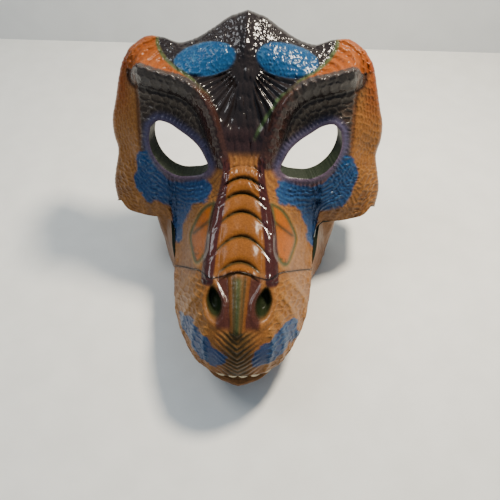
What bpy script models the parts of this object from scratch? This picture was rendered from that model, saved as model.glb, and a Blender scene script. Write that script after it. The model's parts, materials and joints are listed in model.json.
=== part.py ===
"""A hard plastic toy dinosaur mask: face shell, nose piece, teeth and hinged lower jaw.

The face is laid out on a plane that leans back 45 degrees. A point on it has three
numbers in millimetres: x across, up the face, and out of the face. The finished
objects are in metres, +Z up, with the snout towards -Y.
"""
import math

import bmesh
import bpy
import numpy as np
from mathutils import Matrix, Vector
from mathutils.bvhtree import BVHTree

MM = 0.001

# Walls, gaps and fits
WALL = 2.4
JAW_WALL = 2.4
TOUCH_GAP = 0.3
COLLAR_DEPTH = 12.0
COLLAR_LEAN = 3.0
COLLAR_WALL = 2.0
PIVOT_RADIUS = 3.0
PIVOT_CLEARANCE = 0.3
PIVOT_SHOULDER = 3.0
PIVOT_END = 1.5

# The leaning plane of the face
FACE_LEAN = math.radians(45.0)

# Outline of the face moulding, right half, as (x, up)
CROWN_EDGE = ((0, 204), (11, 201.5), (24.5, 193), (37, 185.5), (50, 182), (63, 186), (76, 187), (88, 180))
SIDE_EDGE = ((88, 180), (95, 169), (99.5, 155), (104, 142), (108.5, 130), (108.5, 118),
             (106, 107), (108.5, 94), (111.5, 79), (109.5, 64))
CHEEK_EDGE = ((109.5, 64), (103, 56.5), (91, 52.5), (79, 50.5), (67, 50.5))
MOUTH_EDGE = ((67, 50.5), (61.5, 46), (59.2, 36), (58.2, 24), (57.3, 10))
SEAM = ((0, 15.4), (6, 14.2), (12, 11.5), (20, 9.8), (30, 13.5), (42, 12.5), (57.3, 10))
LIP_SIDE = ((57.3, 10), (55, -9), (49.5, -30), (41, -45))
LIP_FRONT = ((0, -62.3), (9, -62), (20, -60.5), (32, -55), (41, -45))
SEAM_SHARE = 0.50
MOUTH_SHARE = 0.16

# Height of the midline, as (up, out)
MIDLINE = ((204, 94.5), (192, 99), (172, 102), (158, 102), (140, 100), (120, 98), (103, 97), (88, 98.5),
           (71, 101.5), (57, 105.5), (39, 114), (21, 123), (8, 130), (-4, 135.5), (-18, 142), (-30, 145.5),
           (-41, 143.5), (-52, 136.5), (-62.3, 126))

# Lines across the face and heights on them, as (x, up, out)
BROW_LINE = ((81, 161, 102), (69, 157, 104.5), (57, 154, 105), (47, 151, 105), (38, 146, 105), (31, 139, 104.5),
             (26, 131, 103.5), (22, 120, 101.5), (19, 109, 99.5), (16, 97, 98))
STRIPE_LINE = ((15, 90, 98), (16, 79, 99.5), (17.5, 65, 102.5), (20, 50, 107.5), (22, 38, 112.5),
               (23, 24, 119), (23.5, 12, 124.5))
CROWN_FORM = ((20, 187, 97), (36, 180, 95.5), (53, 176, 95), (22, 171, 101), (40, 167, 100.5), (58, 166, 100),
              (72, 171, 98), (81, 174, 95), (12, 150, 101), (24, 151, 102.5), (9, 126, 99), (8, 105, 97.5))
CROWN_RIM_FORM = ((11, 201.5, 94), (24.5, 193, 92.5), (37, 185.5, 91.5), (50, 182, 91), (63, 186, 90.5),
                  (76, 187, 89))
SOCKET_FORM = ((74, 144, 91), (60, 140, 91.5), (47, 133, 91.5), (37, 124, 91), (30, 112, 91), (25, 99, 91))
EYE_TOP_FORM = ((72, 126, 85), (62, 124.5, 86), (52, 119, 86.5), (43, 113, 86.5), (36, 106, 86.5), (30, 97, 86))
EYE_LOW_FORM = ((29, 87, 84.5), (36, 83.5, 83), (45, 82.5, 81.5), (54, 83, 80.5), (62, 86.5, 79.5),
                (70, 94, 79), (75, 103, 79), (77, 114, 80))
UNDER_EYE_FORM = ((24, 77, 91), (33, 71, 84), (45, 68, 76), (58, 67, 70), (72, 74, 67), (84, 87, 66), (87, 104, 70))
TEMPLE_FORM = ((87, 120, 75), (86, 135, 80), (87, 150, 86), (88, 163, 90), (97, 139, 73.5), (98, 125, 68),
               (95, 106, 61), (99, 93, 57), (101, 79, 52), (96, 66, 49), (84, 62, 55), (71, 60, 60))
SIDE_FORM = ((88, 180, 88), (95, 169, 85), (99.5, 155, 79), (104, 142, 69.5), (108.5, 130, 60.5),
             (108.5, 118, 55), (106, 107, 51), (108.5, 94, 47), (111.5, 79, 41.5), (109.5, 64, 37.5))
CHEEK_FORM = ((103, 56.5, 39.5), (91, 52.5, 42.5), (79, 50.5, 46), (67, 50.5, 50.5))
SNOUT_FORM = ((48, 55, 68), (30, 49, 95.5), (42, 33, 80.5), (50, 22.5, 70), (33, 14, 113), (44, 15, 87.5),
              (42, 3.5, 101), (49, -8.5, 90), (22, -7, 133), (33, -18, 123.5), (40, -30, 111.5), (20, -27, 139.5),
              (28, -38, 129.5), (32, -48, 119), (15, -48, 135.5))
LIP_FORM = ((61.5, 46, 51.5), (59.2, 36, 50), (58.2, 24, 55), (57.3, 10, 63), (55, -9, 76), (49.5, -30, 91),
            (41, -45, 101.5), (32, -55, 111), (20, -60.5, 119.5), (9, -62, 124.5))

# Carving
BROW_HEIGHT, BROW_WIDTH_ABOVE, BROW_WIDTH_BELOW, BROW_TURN = 7.0, 3.8, 8.5, 3.0
BROW_START = 0.04
BROW_TAPER, BROW_TAPER_FROM = 0.55, 0.6
STRIPE_HEIGHT, STRIPE_WIDTH = 2.6, 4.2
STRIPE_FADE = (-0.15, 0.1)
CREST_HEIGHT, CREST_WIDTH, CREST_FOOT, CREST_RISE = 3.2, 4.5, 160.0, 20.0
PLATE_EDGES = (92.0, 82.5, 71.0, 57.0, 39.0, 21.0, 14.0)
PLATE_HEIGHT, PLATE_HALF_WIDTH, PLATE_ARCH = 3.4, 15.0, 7.5
KEEL_HEIGHT, KEEL_TOP_WIDTH, KEEL_END_WIDTH, KEEL_END = 4.2, 9.0, 5.0, -27.0
KEEL_FADE = (4.0, 3.0)
KEEL_OVERLAP = 1.0
NOSTRIL_CENTRE = (17.8, -6.5)
NOSTRIL_SIZE = (6.2, 11.5)
NOSTRIL_LEAN = math.radians(8.0)
NOSTRIL_DEPTH = 9.0
NOSTRIL_PINCH = 0.45
NOSTRIL_FLOOR, NOSTRIL_EDGE = 0.35, 1.05
NOSTRIL_RIM_HEIGHT, NOSTRIL_RIM_PLACE, NOSTRIL_RIM_WIDTH = 1.4, 1.3, 0.28
OVAL_CENTRE, OVAL_SIZE, OVAL_HEIGHT = (30.5, 169.5), (23.5, 13.5), 2.2
OVAL_LEAN = math.radians(8.0)
RAY_COUNT, RAY_HEIGHT, RAY_CENTRE = 13, 1.3, (0.0, 168.0)
RAY_START, RAY_END = (8.0, 18.0), (48.0, 62.0)
RAY_SPREAD = (0.9, 1.15)
SCALLOP_HEIGHT, SCALLOP_PITCH, SCALLOP_REACH, SCALLOP_START = 2.0, 13.0, 7.0, 0.08
NORMAL_STEP = 0.8

# Eye hole, right side, as (x, up) round its rim
EYE_OUTLINE = ((74.5, 121), (68, 125.5), (60, 124), (51, 118.5), (43, 113), (36.5, 107), (31.5, 99), (28.5, 89.5),
               (34, 85.5), (43, 84), (52, 84), (60, 87), (68, 93.5), (73.5, 102), (76, 112))

# Rim behind the crown and cheeks
RIM_CENTRE = (0.0, 95.0)
RIM_TURN_RADIUS = 14.0
RIM_TURN_START = math.radians(42.0)
RIM_DEPTH_TOP, RIM_DEPTH_SIDE = 14.0, 30.0
RIM_SIDE_UP_TO = 0.5
RIM_EVENNESS = 0.35
RIM_LIFT = 0.5

# Lower jaw: its pivot as (y, z), its wall as (x, y) and its rim as (y, z)
HINGE = (26.0, 72.0)
ARM_RISE, ARM_SHOULDER = 12.0, 6.0
ARM_TOP = HINGE[1] + ARM_RISE
JAW_PLAN = ((82, 42), (82.5, 26), (80, 9), (69.5, -14), (54.5, -36), (43, -60), (36, -84), (28, -102), (15.5, -115.5),
            (0, -120.5))
JAW_RIM = ((42, ARM_TOP), (26, ARM_TOP), (16, ARM_TOP - ARM_SHOULDER), (8, 66.5), (3, 64.5), (-6, 61.5), (-14, 56.0),
           (-30, 45.0), (-50, 38), (-90, 32), (-121, 33))
JAW_REST_FRONT, JAW_CHIN_RISE = -82.0, 11.0
JAW_FOOT_TURN = 12.0
JAW_FLOOR_FRONT, JAW_FLOOR_SIDE = 12.0, 6.0
JAW_FLARE = 6.5
JAW_TUCK, JAW_TUCK_RISE, JAW_TUCK_FALL = 12.8, (-36.0, 2.0), (4.0, 20.0)
CHIN_BULGE = 10.0
JAW_FRONT_FROM = 0.45

# Upper teeth
TEETH_COUNT = 25
TOOTH_LENGTH, TOOTH_THICKNESS, TOOTH_ROOT = 4.5, 2.6, 0.6
TEETH_FRONT_DROP = 3.5
TEETH_FRONT = (26.0, 46.0)
STRIP_HEIGHT = 5.0
TEETH_GAP = 1.2

# Strap slots in their pads, as (y, z)
STRAP_CENTRE = (62.0, 118.0)
STRAP_PAD = (13.0, 36.0)
STRAP_PAD_THICKNESS = 2.0
STRAP_SLOT = (5.0, 22.0)

# Mesh density
FACE_COLUMNS, FACE_ROWS = 20, 28
NOSE_ROWS = 14
RIM_ROWS = 4
JAW_COLUMNS, JAW_ROWS = 36, 8
ROUND_SIDES = 24
WELD_DISTANCE = 0.02


def to_world(x, up, out):
    """World point, in millimetres, of a point given on the leaning face plane."""
    x, up, out = np.broadcast_arrays(x, up, out)
    y = up * math.sin(FACE_LEAN) - out * math.cos(FACE_LEAN)
    z = up * math.cos(FACE_LEAN) + out * math.sin(FACE_LEAN)
    return np.stack([x, y, z], axis=-1)


def spline(points, share):
    """Points on a smooth curve through the given ones, at shares 0 to 1 of its length."""
    points = np.asarray(points, float)
    steps = np.linalg.norm(np.diff(points, axis=0), axis=1)
    knots = np.concatenate([[0.0], np.cumsum(steps)])
    slopes = np.gradient(points, knots, axis=0)
    place = np.clip(np.asarray(share, float), 0.0, 1.0) * knots[-1]
    span = np.clip(np.searchsorted(knots, place, side="right") - 1, 0, len(steps) - 1)
    length = steps[span][..., None]
    u = ((place - knots[span]) / steps[span])[..., None]
    start, end = points[span], points[span + 1]
    return ((2 * u**3 - 3 * u**2 + 1) * start + (u**3 - 2 * u**2 + u) * length * slopes[span]
            + (3 * u**2 - 2 * u**3) * end + (u**3 - u**2) * length * slopes[span + 1])


def smooth_step(low, high, value):
    """0 below low, 1 above high, smooth between."""
    t = np.clip((value - low) / (high - low), 0.0, 1.0)
    return t * t * (3 - 2 * t)


def near_curve(x, up, points, samples=60):
    """Distance from each (|x|, up) to a curve, the share of the curve where it is nearest, and how far it is
    to the left of the curve's run."""
    curve = spline(np.asarray(points, float)[:, :2], np.linspace(0, 1, samples))
    run = np.gradient(curve, axis=0)
    run /= np.linalg.norm(run, axis=1, keepdims=True)
    shape = np.shape(x)
    place = np.stack([np.abs(x).ravel(), np.ravel(up)], axis=-1)
    gap = np.linalg.norm(place[:, None, :] - curve[None, :, :], axis=-1)
    best = gap.argmin(axis=1)
    offset = place - curve[best]
    side = run[best, 0] * offset[:, 1] - run[best, 1] * offset[:, 0]
    return gap.min(axis=1).reshape(shape), (best / (samples - 1)).reshape(shape), side.reshape(shape)


class ThinPlate:
    """The smooth sheet that passes through a set of heights on the face plane."""

    UNIT = 100.0

    def __init__(self, landmarks):
        places = np.asarray([p[:2] for p in landmarks], float) / self.UNIT
        heights = np.asarray([p[2] for p in landmarks], float)
        count = len(places)
        system = np.zeros((count + 3, count + 3))
        system[:count, :count] = self.bend(places, places)
        system[:count, count] = 1.0
        system[:count, count + 1:] = places
        system[count:, :count] = system[:count, count:].T
        self.places = places
        self.weights = np.linalg.solve(system, np.concatenate([heights, np.zeros(3)]))

    @staticmethod
    def bend(a, b):
        square = ((a[:, None, :] - b[None, :, :]) ** 2).sum(axis=-1)
        return 0.5 * square * np.log(square + 1e-12)

    def __call__(self, x, up):
        shape = np.shape(x)
        place = np.stack([np.ravel(x), np.ravel(up)], axis=-1) / self.UNIT
        bent = self.bend(place, self.places) @ self.weights[:-3]
        flat = self.weights[-3] + place @ self.weights[-2:]
        return (bent + flat).reshape(shape)


def face_landmarks():
    """Every height landmark of the face, both halves."""
    middle = [(0.0, up, out) for up, out in MIDLINE]
    half = []
    for group in (BROW_LINE, STRIPE_LINE, CROWN_FORM, CROWN_RIM_FORM, SOCKET_FORM, EYE_TOP_FORM, EYE_LOW_FORM,
                  UNDER_EYE_FORM, TEMPLE_FORM, SIDE_FORM, CHEEK_FORM, SNOUT_FORM, LIP_FORM):
        half.extend(group)
    return middle + half + [(-x, up, out) for x, up, out in half]


FACE_SHEET = ThinPlate(face_landmarks())


def brow_ridge(x, up):
    """A thick roll over each eye, steep above its crest line and long below it."""
    gap, share, side = near_curve(x, up, BROW_LINE)
    width = BROW_WIDTH_ABOVE + (BROW_WIDTH_BELOW - BROW_WIDTH_ABOVE) * smooth_step(-BROW_TURN, BROW_TURN, side)
    ends = smooth_step(-BROW_START, BROW_START, share) * (1 - BROW_TAPER * smooth_step(BROW_TAPER_FROM, 1.0, share))
    return BROW_HEIGHT * ends * np.exp(-(gap / width) ** 2)


def stripe_ridge(x, up):
    gap, share, _ = near_curve(x, up, STRIPE_LINE)
    return STRIPE_HEIGHT * np.exp(-(gap / STRIPE_WIDTH) ** 2) * smooth_step(*STRIPE_FADE, share)


def crest_keel(x, up):
    return CREST_HEIGHT * np.exp(-(x / CREST_WIDTH) ** 2) * smooth_step(CREST_FOOT, CREST_FOOT + CREST_RISE, up)


def snout_plates(x, up):
    """Overlapping plates down the bridge of the snout, each highest at its lower edge."""
    arched = up + PLATE_ARCH * (np.abs(x) / PLATE_HALF_WIDTH) ** 2
    relief = np.zeros(np.shape(x))
    for top, bottom in zip(PLATE_EDGES[:-1], PLATE_EDGES[1:]):
        rise = np.clip((top - arched) / (top - bottom), 0.0, 1.0)
        swell = np.sqrt(rise) * (1 - rise**6)
        relief = np.where((arched <= top) & (arched > bottom), PLATE_HEIGHT * swell, relief)
    across = np.clip(1 - (np.abs(x) / PLATE_HALF_WIDTH) ** 4, 0.0, 1.0)
    return relief * across


def nose_keel(x, up):
    """The rounded keel that runs down the nose and stops above the lip."""
    down = np.clip((SEAM[0][1] - up) / (SEAM[0][1] - KEEL_END), 0.0, 1.0)
    half = KEEL_TOP_WIDTH + (KEEL_END_WIDTH - KEEL_TOP_WIDTH) * down
    across = np.clip(1 - (x / half) ** 2, 0.0, 1.0) ** 0.8
    end = smooth_step(KEEL_END - KEEL_FADE[0], KEEL_END + KEEL_FADE[1], up)
    return KEEL_HEIGHT * across * end * (up < SEAM[0][1] + KEEL_OVERLAP)


def oval_place(x, up, centre, size, lean):
    """Distance from an oval's centre, 1 at its edge. The oval leans outwards at its top."""
    dx, dup = np.abs(x) - centre[0], up - centre[1]
    along = dx * math.cos(lean) - dup * math.sin(lean)
    across = dx * math.sin(lean) + dup * math.cos(lean)
    return np.hypot(along / size[0], across / size[1])


def nostril_place(x, up):
    """0 in the middle of a nostril and 1 at its rim, pointed at the top."""
    pinch = 1 + NOSTRIL_PINCH * smooth_step(0.0, 1.0, (up - NOSTRIL_CENTRE[1]) / NOSTRIL_SIZE[1])
    centre_x = NOSTRIL_CENTRE[0] + math.tan(NOSTRIL_LEAN) * (up - NOSTRIL_CENTRE[1])
    return np.hypot((np.abs(x) - centre_x) * pinch / NOSTRIL_SIZE[0], (up - NOSTRIL_CENTRE[1]) / NOSTRIL_SIZE[1])


def nostril_pocket(x, up, margin=0.0):
    reach = 1 + margin / NOSTRIL_SIZE[0]
    return NOSTRIL_DEPTH * (1 - smooth_step(NOSTRIL_FLOOR * reach, NOSTRIL_EDGE * reach, nostril_place(x, up)))


def nostril_rim(x, up):
    return NOSTRIL_RIM_HEIGHT * np.exp(-((nostril_place(x, up) - NOSTRIL_RIM_PLACE) / NOSTRIL_RIM_WIDTH) ** 2)


def crown_ovals(x, up):
    place = oval_place(x, up, OVAL_CENTRE, OVAL_SIZE, OVAL_LEAN)
    return OVAL_HEIGHT * np.sqrt(np.clip(1 - place**2, 0.0, 1.0))


def forehead_rays(x, up):
    """Ridges that fan down over the forehead from the foot of the crest."""
    dx, dup = x - RAY_CENTRE[0], RAY_CENTRE[1] - up
    reach = np.hypot(dx, dup)
    angle = np.arctan2(dx, dup)
    fade = smooth_step(*RAY_START, reach) * (1 - smooth_step(*RAY_END, reach))
    fade = fade * (1 - smooth_step(*RAY_SPREAD, np.abs(angle)))
    return RAY_HEIGHT * fade * np.cos(angle * RAY_COUNT)


def lip_scallops(x, up):
    """Rounded swellings along the mouth edge, one above each large tooth."""
    edge = LIP_FRONT[:-1] + LIP_SIDE[::-1] + MOUTH_EDGE[::-1][1:4]
    gap, share, _ = near_curve(x, up, edge, samples=120)
    length = np.linalg.norm(np.diff(np.asarray(edge, float), axis=0), axis=1).sum()
    wave = 0.5 - 0.5 * np.cos(2 * math.pi * share * length / SCALLOP_PITCH)
    return SCALLOP_HEIGHT * wave * (1 - smooth_step(0.0, SCALLOP_REACH, gap)) * smooth_step(0.0, SCALLOP_START, share)


def broad_height(x, up):
    """Height of the moulding's main form, which its inner face follows."""
    return FACE_SHEET(x, up) + brow_ridge(x, up)


def carved_height(x, up):
    """Height of the outer face, with its carving."""
    carving = stripe_ridge(x, up) + crest_keel(x, up) + snout_plates(x, up) + nose_keel(x, up)
    carving = carving + crown_ovals(x, up) + forehead_rays(x, up) + lip_scallops(x, up) + nostril_rim(x, up)
    return broad_height(x, up) + carving - nostril_pocket(x, up)


def face_normal(x, up, height):
    """Unit normal of a height function, on the face plane's axes."""
    step = NORMAL_STEP
    slope_x = (height(x + step, up) - height(x - step, up)) / (2 * step)
    slope_up = (height(x, up + step) - height(x, up - step)) / (2 * step)
    normal = np.stack([-slope_x, -slope_up, np.ones(np.shape(x))], axis=-1)
    return normal / np.linalg.norm(normal, axis=-1, keepdims=True)


def outer_face(x, up):
    return np.stack([x, up, carved_height(x, up)], axis=-1)


def inner_face(x, up):
    """The inside of the wall: the broad form moved in by the wall, with room for the nostrils."""
    def pocketed(a, b):
        return broad_height(a, b) - nostril_pocket(a, b, margin=WALL)

    out = pocketed(x, up)
    return np.stack([x, up, out], axis=-1) - WALL * face_normal(x, up, pocketed)


def coons(top, bottom, inner, outer):
    """Fill four edges with a grid. top and bottom run outwards, inner and outer run down."""
    s = np.linspace(0, 1, len(top))[None, :, None]
    t = np.linspace(0, 1, len(inner))[:, None, None]
    ruled = (1 - t) * top[None] + t * bottom[None] + (1 - s) * inner[:, None] + s * outer[:, None]
    corners = ((1 - s) * (1 - t) * top[0] + s * (1 - t) * top[-1] + (1 - s) * t * bottom[0] + s * t * bottom[-1])
    return ruled - corners


def face_grid(columns, rows):
    """Half grid of (x, up) places over the face moulding, from the crown to the seam."""
    s = np.linspace(0, 1, columns + 1)
    seam_columns = round(columns * SEAM_SHARE)
    mouth_columns = round(columns * MOUTH_SHARE)
    cheek_columns = columns - seam_columns - mouth_columns
    seam = spline(SEAM, np.linspace(0, 1, seam_columns + 1))
    mouth = spline(MOUTH_EDGE[::-1], np.linspace(0, 1, mouth_columns + 1))
    cheek = spline(CHEEK_EDGE[::-1], np.linspace(0, 1, cheek_columns + 1))
    seam[:, 1] += TOUCH_GAP / 2
    bottom = np.concatenate([seam, mouth[1:], cheek[1:]])
    top = spline(CROWN_EDGE, s)
    side = spline(SIDE_EDGE, np.linspace(0, 1, rows + 1))
    middle = np.stack([np.zeros(rows + 1), np.linspace(top[0, 1], bottom[0, 1], rows + 1)], axis=-1)
    return coons(top, bottom, middle, side)


def nose_grid(columns, rows):
    """Half grid of (x, up) places over the nose moulding, from the seam to the lip."""
    top = spline(SEAM, np.linspace(0, 1, columns + 1))
    top[:, 1] -= TOUCH_GAP / 2
    bottom = spline(LIP_FRONT, np.linspace(0, 1, columns + 1))
    side = spline(LIP_SIDE, np.linspace(0, 1, rows + 1))
    side[0] = top[-1]
    middle = np.stack([np.zeros(rows + 1), np.linspace(top[0, 1], bottom[0, 1], rows + 1)], axis=-1)
    return coons(top, bottom, middle, side)


def mirror_grid(half):
    """Both halves of a grid, left to right."""
    left = half[:, :0:-1].copy()
    left[..., 0] *= -1
    return np.concatenate([left, half], axis=1)


def grid_faces(rows, columns):
    """Quads of a grid of vertices numbered row by row, facing the viewer."""
    faces = []
    for r in range(rows - 1):
        for c in range(columns - 1):
            a = r * columns + c
            faces.append((a, a + columns, a + columns + 1, a + 1))
    return faces


def boundary_loops(faces):
    """Closed loops of the edges that only one face uses, in face order."""
    edges = {}
    for face in faces:
        for a, b in zip(face, face[1:] + face[:1]):
            edges[(a, b)] = True
    following = {a: b for a, b in edges if (b, a) not in edges}
    loops = []
    while following:
        start = next(iter(following))
        loop = [start]
        here = following.pop(start)
        while here != start:
            loop.append(here)
            here = following.pop(here)
        loops.append(loop)
    return loops


def zip_loops(points, loop_a, loop_b):
    """Triangles that join two closed loops of vertices which run the same way round."""
    a = points[loop_a]
    shift = np.linalg.norm(points[loop_b] - a[0], axis=1).argmin()
    loop_b = loop_b[shift:] + loop_b[:shift]
    b = points[loop_b]

    def shares(loop):
        steps = np.linalg.norm(np.roll(loop, -1, axis=0) - loop, axis=1)
        return np.concatenate([[0.0], np.cumsum(steps)]) / steps.sum()

    share_a, share_b = shares(a), shares(b)
    i = j = 0
    faces = []
    while i < len(loop_a) or j < len(loop_b):
        here_a, here_b = loop_a[i % len(loop_a)], loop_b[j % len(loop_b)]
        if j == len(loop_b) or (i < len(loop_a) and share_a[i + 1] <= share_b[j + 1]):
            faces.append((here_a, here_b, loop_a[(i + 1) % len(loop_a)]))
            i += 1
        else:
            faces.append((here_a, here_b, loop_b[(j + 1) % len(loop_b)]))
            j += 1
    return faces


def eye_outline(samples=120, spread=0.0):
    """The eye hole's rim on the right side, moved out by spread."""
    closed = EYE_OUTLINE + EYE_OUTLINE[:1]
    curve = spline(closed, np.linspace(0, 1, samples + 1))[:-1]
    along = np.roll(curve, -1, axis=0) - np.roll(curve, 1, axis=0)
    outwards = np.stack([-along[:, 1], along[:, 0]], axis=-1)
    outwards /= np.linalg.norm(outwards, axis=1, keepdims=True)
    if np.cross(curve[1] - curve[0], curve.mean(axis=0) - curve[0]) < 0:
        outwards = -outwards
    return curve - spread * outwards


def inside_outline(place, outline):
    """True where (|x|, up) is inside a closed outline."""
    x, up = np.abs(place[:, 0]), place[:, 1]
    inside = np.zeros(len(place), bool)
    for (ax, au), (bx, bu) in zip(outline, np.roll(outline, -1, axis=0)):
        crosses = (au > up) != (bu > up)
        with np.errstate(divide="ignore", invalid="ignore"):
            inside ^= crosses & (x < (bx - ax) * (up - au) / (bu - au) + ax)
    return inside


def spread_on_rim(loop_places, rim):
    """Rim place for each vertex of a hole's edge, near it and in the same order, no two together."""
    gaps = np.linalg.norm(loop_places[:, None, :] - rim[None, :, :], axis=-1)
    nearest = gaps.argmin(axis=1)
    count = len(rim)
    steps = np.mod(np.diff(nearest) + count // 2, count) - count // 2
    turn = 1 if steps.sum() > 0 else -1
    along = np.sort(np.concatenate([[0], np.cumsum(steps * turn)]))
    even = np.arange(len(nearest)) * count / len(nearest)
    even += (along - even).mean()
    numbers = nearest[0] + turn * (RIM_EVENNESS * even + (1 - RIM_EVENNESS) * along)
    low = np.floor(numbers).astype(int)
    part = (numbers - low)[:, None]
    return rim[low % count] * (1 - part) + rim[(low + 1) % count] * part


def cut_eyes(places, faces, spread):
    """Leave out the faces in the eye holes and draw the edge of each hole onto its rim."""
    outline = eye_outline(spread=spread)
    centres = np.array([places[list(face)].mean(axis=0) for face in faces])
    inside = inside_outline(centres, outline)
    faces = [face for face, gone in zip(faces, inside) if not gone]
    loops = boundary_loops(faces)
    holes = [loop for loop in loops if np.ptp(places[loop, 0]) < SIDE_EDGE[0][0]]
    border = [loop for loop in loops if loop not in holes]
    for loop in holes:
        side = math.copysign(1.0, places[loop, 0].mean())
        places[loop] = spread_on_rim(places[loop], outline * (side, 1.0))
    return faces, border[0], holes


def rim_chain(grid_shape):
    """Vertex numbers round the moulding's free rim: up one side, over the crown and down the other."""
    rows, columns = grid_shape
    left = [r * columns for r in range(rows - 1, 0, -1)]
    top = list(range(columns))
    right = [r * columns + columns - 1 for r in range(1, rows)]
    return left + top + right


def rim_turn(places, chain, start_points, inset):
    """Rows of points that turn the moulding's edge back round the head, behind the given chain."""
    edge = places[chain]
    away = edge - np.asarray(RIM_CENTRE)
    away[:, 1] = np.clip(away[:, 1], 0.0, None)
    away /= np.linalg.norm(away, axis=1, keepdims=True)
    upwards = smooth_step(RIM_SIDE_UP_TO, 1.0, away[:, 1])
    radius = RIM_TURN_RADIUS - inset
    rows = []
    turn_rows = RIM_ROWS // 2
    for k in range(1, RIM_ROWS + 1):
        angle = RIM_TURN_START + (math.pi / 2 - RIM_TURN_START) * min(k / turn_rows, 1.0)
        swing = radius * (math.sin(angle) - math.sin(RIM_TURN_START))
        sink = radius * (math.cos(RIM_TURN_START) - math.cos(angle))
        back = max(0, k - turn_rows) / (RIM_ROWS - turn_rows)
        depth = back * (RIM_DEPTH_SIDE + (RIM_DEPTH_TOP - RIM_DEPTH_SIDE) * upwards)
        lift = RIM_LIFT * depth * (1 - upwards)
        row = start_points + 0.0
        row[:, :2] += away * swing
        row[:, 1] += lift
        row[:, 2] -= sink + depth
        rows.append(row)
    return rows


def face_surface(columns, rows, outside):
    """Points and faces of one side of the face moulding's wall, with its border and eye hole loops."""
    grid = mirror_grid(face_grid(columns, rows))
    shape = grid.shape[:2]
    places = grid.reshape(-1, 2).copy()
    faces = grid_faces(*shape)
    chain = rim_chain(shape)
    faces, _, holes = cut_eyes(places, faces, 0.0 if outside else COLLAR_WALL)
    points = (outer_face if outside else inner_face)(places[:, 0], places[:, 1])
    turned = rim_turn(places, chain, points[chain], 0.0 if outside else WALL)
    previous = chain
    for row in turned:
        first = len(points)
        points = np.concatenate([points, row])
        numbers = list(range(first, first + len(row)))
        for a, b, c, d in zip(previous[:-1], previous[1:], numbers[1:], numbers[:-1]):
            faces.append((a, b, c, d))
        previous = numbers
    border = max(boundary_loops(faces), key=len)
    return points, faces, border, holes


def join_walls(outer, inner):
    """One closed body from the outer and inner sides of a wall. Loops pair up by place."""
    outer_points, outer_faces, outer_loops = outer
    inner_points, inner_faces, inner_loops = inner
    offset = len(outer_points)
    points = np.concatenate([outer_points, inner_points])
    faces = list(outer_faces)
    faces += [tuple(v + offset for v in reversed(face)) for face in inner_faces]
    for outer_loop, inner_loop in zip(outer_loops, inner_loops):
        faces += zip_loops(points, list(outer_loop), [v + offset for v in inner_loop])
    return points, faces


def collar_rings(points, holes):
    """Rings of points that carry each eye hole's rim back into the head, then out to a wall's thickness."""
    rings = []
    for loop in holes:
        side = math.copysign(1.0, points[loop, 0].mean())
        rim = points[loop]
        along = np.roll(rim, -1, axis=0)[:, :2] - np.roll(rim, 1, axis=0)[:, :2]
        outwards = np.stack([along[:, 1], -along[:, 0]], axis=-1)
        outwards /= np.linalg.norm(outwards, axis=1, keepdims=True)
        centre = rim[:, :2].mean(axis=0)
        if ((rim[:, :2] - centre) * outwards).sum() < 0:
            outwards = -outwards
        back = np.array([-side * COLLAR_LEAN, COLLAR_DEPTH * math.sin(FACE_LEAN), -COLLAR_DEPTH * math.cos(FACE_LEAN)])
        end = rim + back
        thick = end.copy()
        thick[:, :2] += outwards * COLLAR_WALL
        rings.append((end, thick))
    return rings


def make_object(name, points, faces, material):
    """A mesh object from points in millimetres in world axes."""
    mesh = bpy.data.meshes.new(name)
    mesh.from_pydata([tuple(p) for p in np.asarray(points) * MM], [], faces)
    mesh.validate()
    tidy = bmesh.new()
    tidy.from_mesh(mesh)
    bmesh.ops.remove_doubles(tidy, verts=tidy.verts, dist=WELD_DISTANCE * MM)
    loose = [vertex for vertex in tidy.verts if not vertex.link_faces]
    bmesh.ops.delete(tidy, geom=loose, context="VERTS")
    bmesh.ops.triangulate(tidy, faces=tidy.faces, quad_method="SHORT_EDGE")
    bmesh.ops.recalc_face_normals(tidy, faces=tidy.faces)
    tidy.to_mesh(mesh)
    tidy.free()
    thing = bpy.data.objects.new(name, mesh)
    bpy.context.scene.collection.objects.link(thing)
    mesh.materials.append(material)
    mesh.shade_smooth()
    mesh.set_sharp_from_angle(angle=math.radians(50))
    return thing


def plastic(name, colour, roughness):
    """A hard plastic with one colour."""
    material = bpy.data.materials.new(name)
    material.use_nodes = True
    shader = material.node_tree.nodes["Principled BSDF"]
    shader.inputs["Base Color"].default_value = (*colour, 1.0)
    shader.inputs["Roughness"].default_value = roughness
    shader.inputs["Metallic"].default_value = 0.0
    return material


def wall_tree(thing):
    """Ray casting tree of an object, in metres."""
    shape = bmesh.new()
    shape.from_mesh(thing.data)
    tree = BVHTree.FromBMesh(shape)
    shape.free()
    return tree


def wall_reaches(tree, side, outline):
    """How far out the wall's inner face is at each (y, z). Past the wall's edge it keeps the nearest reach."""
    hits = [tree.ray_cast(Vector((0.0, y * MM, z * MM)), Vector((side, 0.0, 0.0)))[0] for y, z in outline]
    found = [k for k, hit in enumerate(hits) if hit is not None]
    nearest = [min(found, key=lambda k: math.dist(outline[k], place)) for place in outline]
    return [abs(hits[k].x) / MM for k in nearest]


def wall_post(name, tree, side, outline, inner_x, material):
    """A post with the given (y, z) outline that grows inwards from the wall to inner_x."""
    inner = [(side * inner_x, y, z) for y, z in outline]
    rooted = [(side * (reach + WALL / 2), y, z) for reach, (y, z) in zip(wall_reaches(tree, side, outline), outline)]
    count = len(outline)
    points = inner + rooted
    faces = [tuple(range(count)), tuple(range(2 * count - 1, count - 1, -1))]
    for k in range(count):
        after = (k + 1) % count
        faces.append((k, count + k, count + after, after))
    return make_object(name, points, faces, material)


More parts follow.
